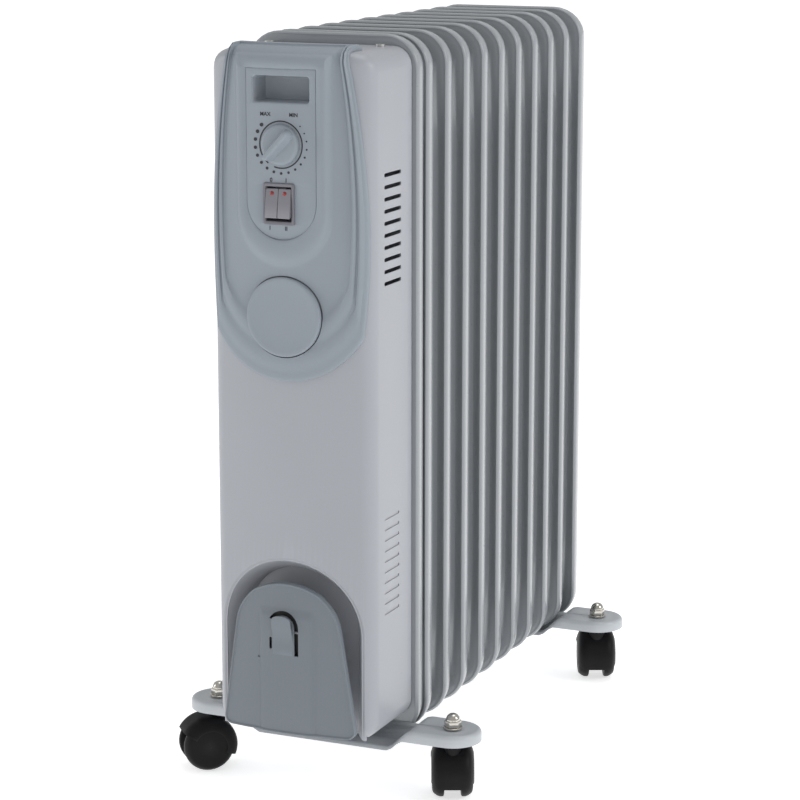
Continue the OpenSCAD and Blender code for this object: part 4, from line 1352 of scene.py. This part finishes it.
def hood_mesh():
    """Hood over both wheels: an arc of shell round the axle, side rims, web and stem collar."""
    start, stop, steps = math.radians(HOOD_FROM), math.radians(HOOD_TO), 40
    section = []
    for k in range(25):
        y = -HOOD_HALF + 2 * HOOD_HALF * k / 24
        section.append((barrel(y), y))
    outer = [(barrel(HOOD_HALF) - 1.5, -HOOD_HALF), (barrel(HOOD_HALF) - 0.5, -HOOD_HALF)] + section[1:-1]
    outer = outer + [(barrel(HOOD_HALF) - 0.5, HOOD_HALF), (barrel(HOOD_HALF) - 1.5, HOOD_HALF)]
    inner = [(barrel(share * HOOD_HALF) - 1.3, share * HOOD_HALF)
             for share in (0.94, 0.89, 0.82, 0.7, 0.4, -0.4, -0.7, -0.82, -0.89, -0.94)]
    shell_rings = []
    for k in range(steps + 1):
        t = start + (stop - start) * k / steps
        shell_rings.append([(-TRAIL + r * math.cos(t), y, WHEEL_R + r * math.sin(t))
                            for r, y in outer + inner])
    web = []
    web_r = WHEEL_R + 1.6
    web_turns = [start + (stop - start) * k / 24 for k in range(25)]
    web_profile = [(-TRAIL + web_r * math.cos(t), WHEEL_R + web_r * math.sin(t)) for t in web_turns]
    web_profile += [(-TRAIL - 7.0, WHEEL_R - 8.5), (-TRAIL + 4.0, WHEEL_R - 9.0)]
    for y in (-WEB_HALF + 0.1, -WEB_HALF + 0.7, WEB_HALF - 0.7, WEB_HALF - 0.1):
        shrink = 0.985 if abs(y) > WEB_HALF - 0.5 else 1.0
        web.append([(-TRAIL + (x + TRAIL) * shrink, y, WHEEL_R + (z - WHEEL_R) * shrink)
                    for x, z in web_profile])
    collar = turned([(4.3, HOOD_TOP - 16), (5.2, HOOD_TOP - 16), (7.6, HOOD_TOP - 8), (8.6, HOOD_TOP - 1.6),
                     (7.9, HOOD_TOP - 0.5), (7.0, HOOD_TOP - 0.1),
                     (4.3, HOOD_TOP - 0.1), (4.3, HOOD_TOP - 16)], (0, 0, 0), "z", 40)
    return loft("hood", [(shell_rings, True, True), (web, True, True), (collar, False, False)])


def wheel_mesh(side):
    """Twin wheel: tread with a rounded shoulder, and a plain, slightly domed outer face."""
    s = 1 if side == "out" else -1
    y0 = s * (WEB_HALF + 0.5)
    profile = ((2.8, 0.0), (WHEEL_R - 2.0, 0.0), (WHEEL_R - 0.6, 0.4), (WHEEL_R, 1.4),
               (WHEEL_R, WHEEL_W * 0.36), (WHEEL_R - 0.8, WHEEL_W * 0.56), (WHEEL_R - 2.2, WHEEL_W * 0.76),
               (WHEEL_R - 3.6, WHEEL_W * 0.9), (WHEEL_R - 5.0, WHEEL_W - 0.6),
               (WHEEL_R - 7.0, WHEEL_W - 0.3), (WHEEL_R - 11.0, WHEEL_W - 0.1), (0.3, WHEEL_W),
               (0.3, WHEEL_W - 2.4), (2.8, WHEEL_W - 2.4), (2.8, 0.0))
    rings = turned([(radius, s * y) for radius, y in profile], (-TRAIL, y0, WHEEL_R), "y", 72)
    return loft("wheel", [(rings, False, False)])


for corner in CORNERS:
    place = caster_place(corner)
    mesh = hood_mesh()
    mesh.transform(place)
    add_piece("caster_hood_" + corner, mesh, wheel_nylon, body="caster_" + corner,
              replaces=["hood_" + corner], angle=35)
    for side in SIDES:
        mesh = wheel_mesh(side)
        mesh.transform(place)
        add_piece(f"caster_wheel_{corner}_{side}", mesh, wheel_nylon, body=f"roller_{corner}_{side}",
                  replaces=[f"wheel_{corner}_{side}"], angle=35)


# %% [markdown]
# ## Pieces that keep their own solids
# Hidden hardware already has its true shape: collars, bolts, stems, the element and what is inside the box.
# Each of those solids only gets a finish, set on its material slots.

# %% Finishes for the carried-over solids
KEPT = {
    fin_enamel: ["hub_collars", "hub_caps"],
    box_enamel: ["housing_back", "winder_recess"],
    cup_plastic: ["thermostat"],
    zinc: ["element_flange", "heating_element", "u_bolts", "wing_nuts", "housing_screws"],
    nickel: ["thermostat_spindle", "caster_stems"] + ["axle_" + corner for corner in CORNERS],
    cream: ["terminal_block"],
    switch_plastic: ["thermal_cutout"],
    wheel_nylon: ["cable_gland"],
    black_sleeve_and_shade: ["wiring"],
}
for material, names in KEPT.items():
    for name in names:
        slots = frame["nodes"][name].material_slots
        for index in range(len(slots)):
            slots[index].link = "OBJECT"
            slots[index].material = material
print("solids kept:", sum(len(names) for names in KEPT.values()))


# %% [markdown]
# ## Floor, light and camera
# A pale floor runs far behind the heater. One large soft light stands to the right, a weaker one to the
# left of the controls and one above, and an even pale sky fills the shadows. The camera looks down a
# little from the right of the controls.

# %% Stage
FLOOR_GLOW = 0.64
SKY = 0.54


def stage_floor():
    """A wide pale floor that also serves as the background."""
    mesh = bpy.data.meshes.new("floor")
    size = 60
    mesh.from_pydata([(-size, -size, 0), (size, -size, 0), (size, size, 0), (-size, size, 0)], [],
                     [(0, 1, 2, 3)])
    floor = bpy.data.objects.new("floor", mesh)
    bpy.context.scene.collection.objects.link(floor)
    material = bpy.data.materials.new("Pale floor")
    material.use_nodes = True
    tree = material.node_tree
    shader = tree.nodes["Principled BSDF"]
    speck = put(tree, "ShaderNodeTexNoise", Scale=3.0, Detail=2.0)
    where = put(tree, "ShaderNodeTexCoord")
    tree.links.new(where.outputs["Object"], speck.inputs["Vector"])
    tone = blend(tree, speck.outputs["Fac"], (0.90, 0.90, 0.90), (0.86, 0.86, 0.86))
    tree.links.new(tone, shader.inputs["Base Color"])
    shader.inputs["Roughness"].default_value = 0.9
    shader.inputs["Specular IOR Level"].default_value = 0.1
    shader.inputs["Emission Color"].default_value = (1, 1, 1, 1)
    shader.inputs["Emission Strength"].default_value = FLOOR_GLOW
    mesh.materials.append(material)


for stray in [o for o in bpy.data.objects if o.name in ("Cube", "Light", "Camera")]:
    bpy.data.objects.remove(stray)
stage_floor()
world = bpy.data.worlds.new("Sky")
world.use_nodes = True
world.node_tree.nodes["Background"].inputs["Color"].default_value = (1.0, 1.0, 1.0, 1)
world.node_tree.nodes["Background"].inputs["Strength"].default_value = SKY
bpy.context.scene.world = world


def soft_light(name, place, target, size, watts):
    """A square area light aimed at a point."""
    lamp = bpy.data.lights.new(name, "AREA")
    lamp.energy, lamp.size = watts, size
    holder = bpy.data.objects.new(name, lamp)
    bpy.context.scene.collection.objects.link(holder)
    holder.location = place
    aim = Vector(target) - Vector(place)
    holder.rotation_euler = aim.to_track_quat("-Z", "Y").to_euler()


soft_light("key", (3.3, 0.1, 2.0), (0, 0, 0.45), 1.6, 32)
soft_light("front", (-3.3, -1.5, 1.3), (0, 0, 0.35), 1.4, 17)
soft_light("top", (0.2, 0.3, 2.8), (0, 0, 0.3), 1.6, 15)


# %% Camera
CAMERA_PLACE = (0.918, -2.106, 0.787)
LOOK_DOWN, LOOK_ROUND = 11.87, 23.62
LENS_MM = 120.4
camera_data = bpy.data.cameras.new("camera")
camera_data.lens = LENS_MM
camera_data.sensor_width = 36.0
camera_data.clip_end = 200
camera = bpy.data.objects.new("camera", camera_data)
bpy.context.scene.collection.objects.link(camera)
camera.location = CAMERA_PLACE
camera.rotation_euler = (math.radians(90 - LOOK_DOWN), 0, math.radians(LOOK_ROUND))
bpy.context.scene.camera = camera
bpy.context.scene.view_settings.view_transform = "Standard"
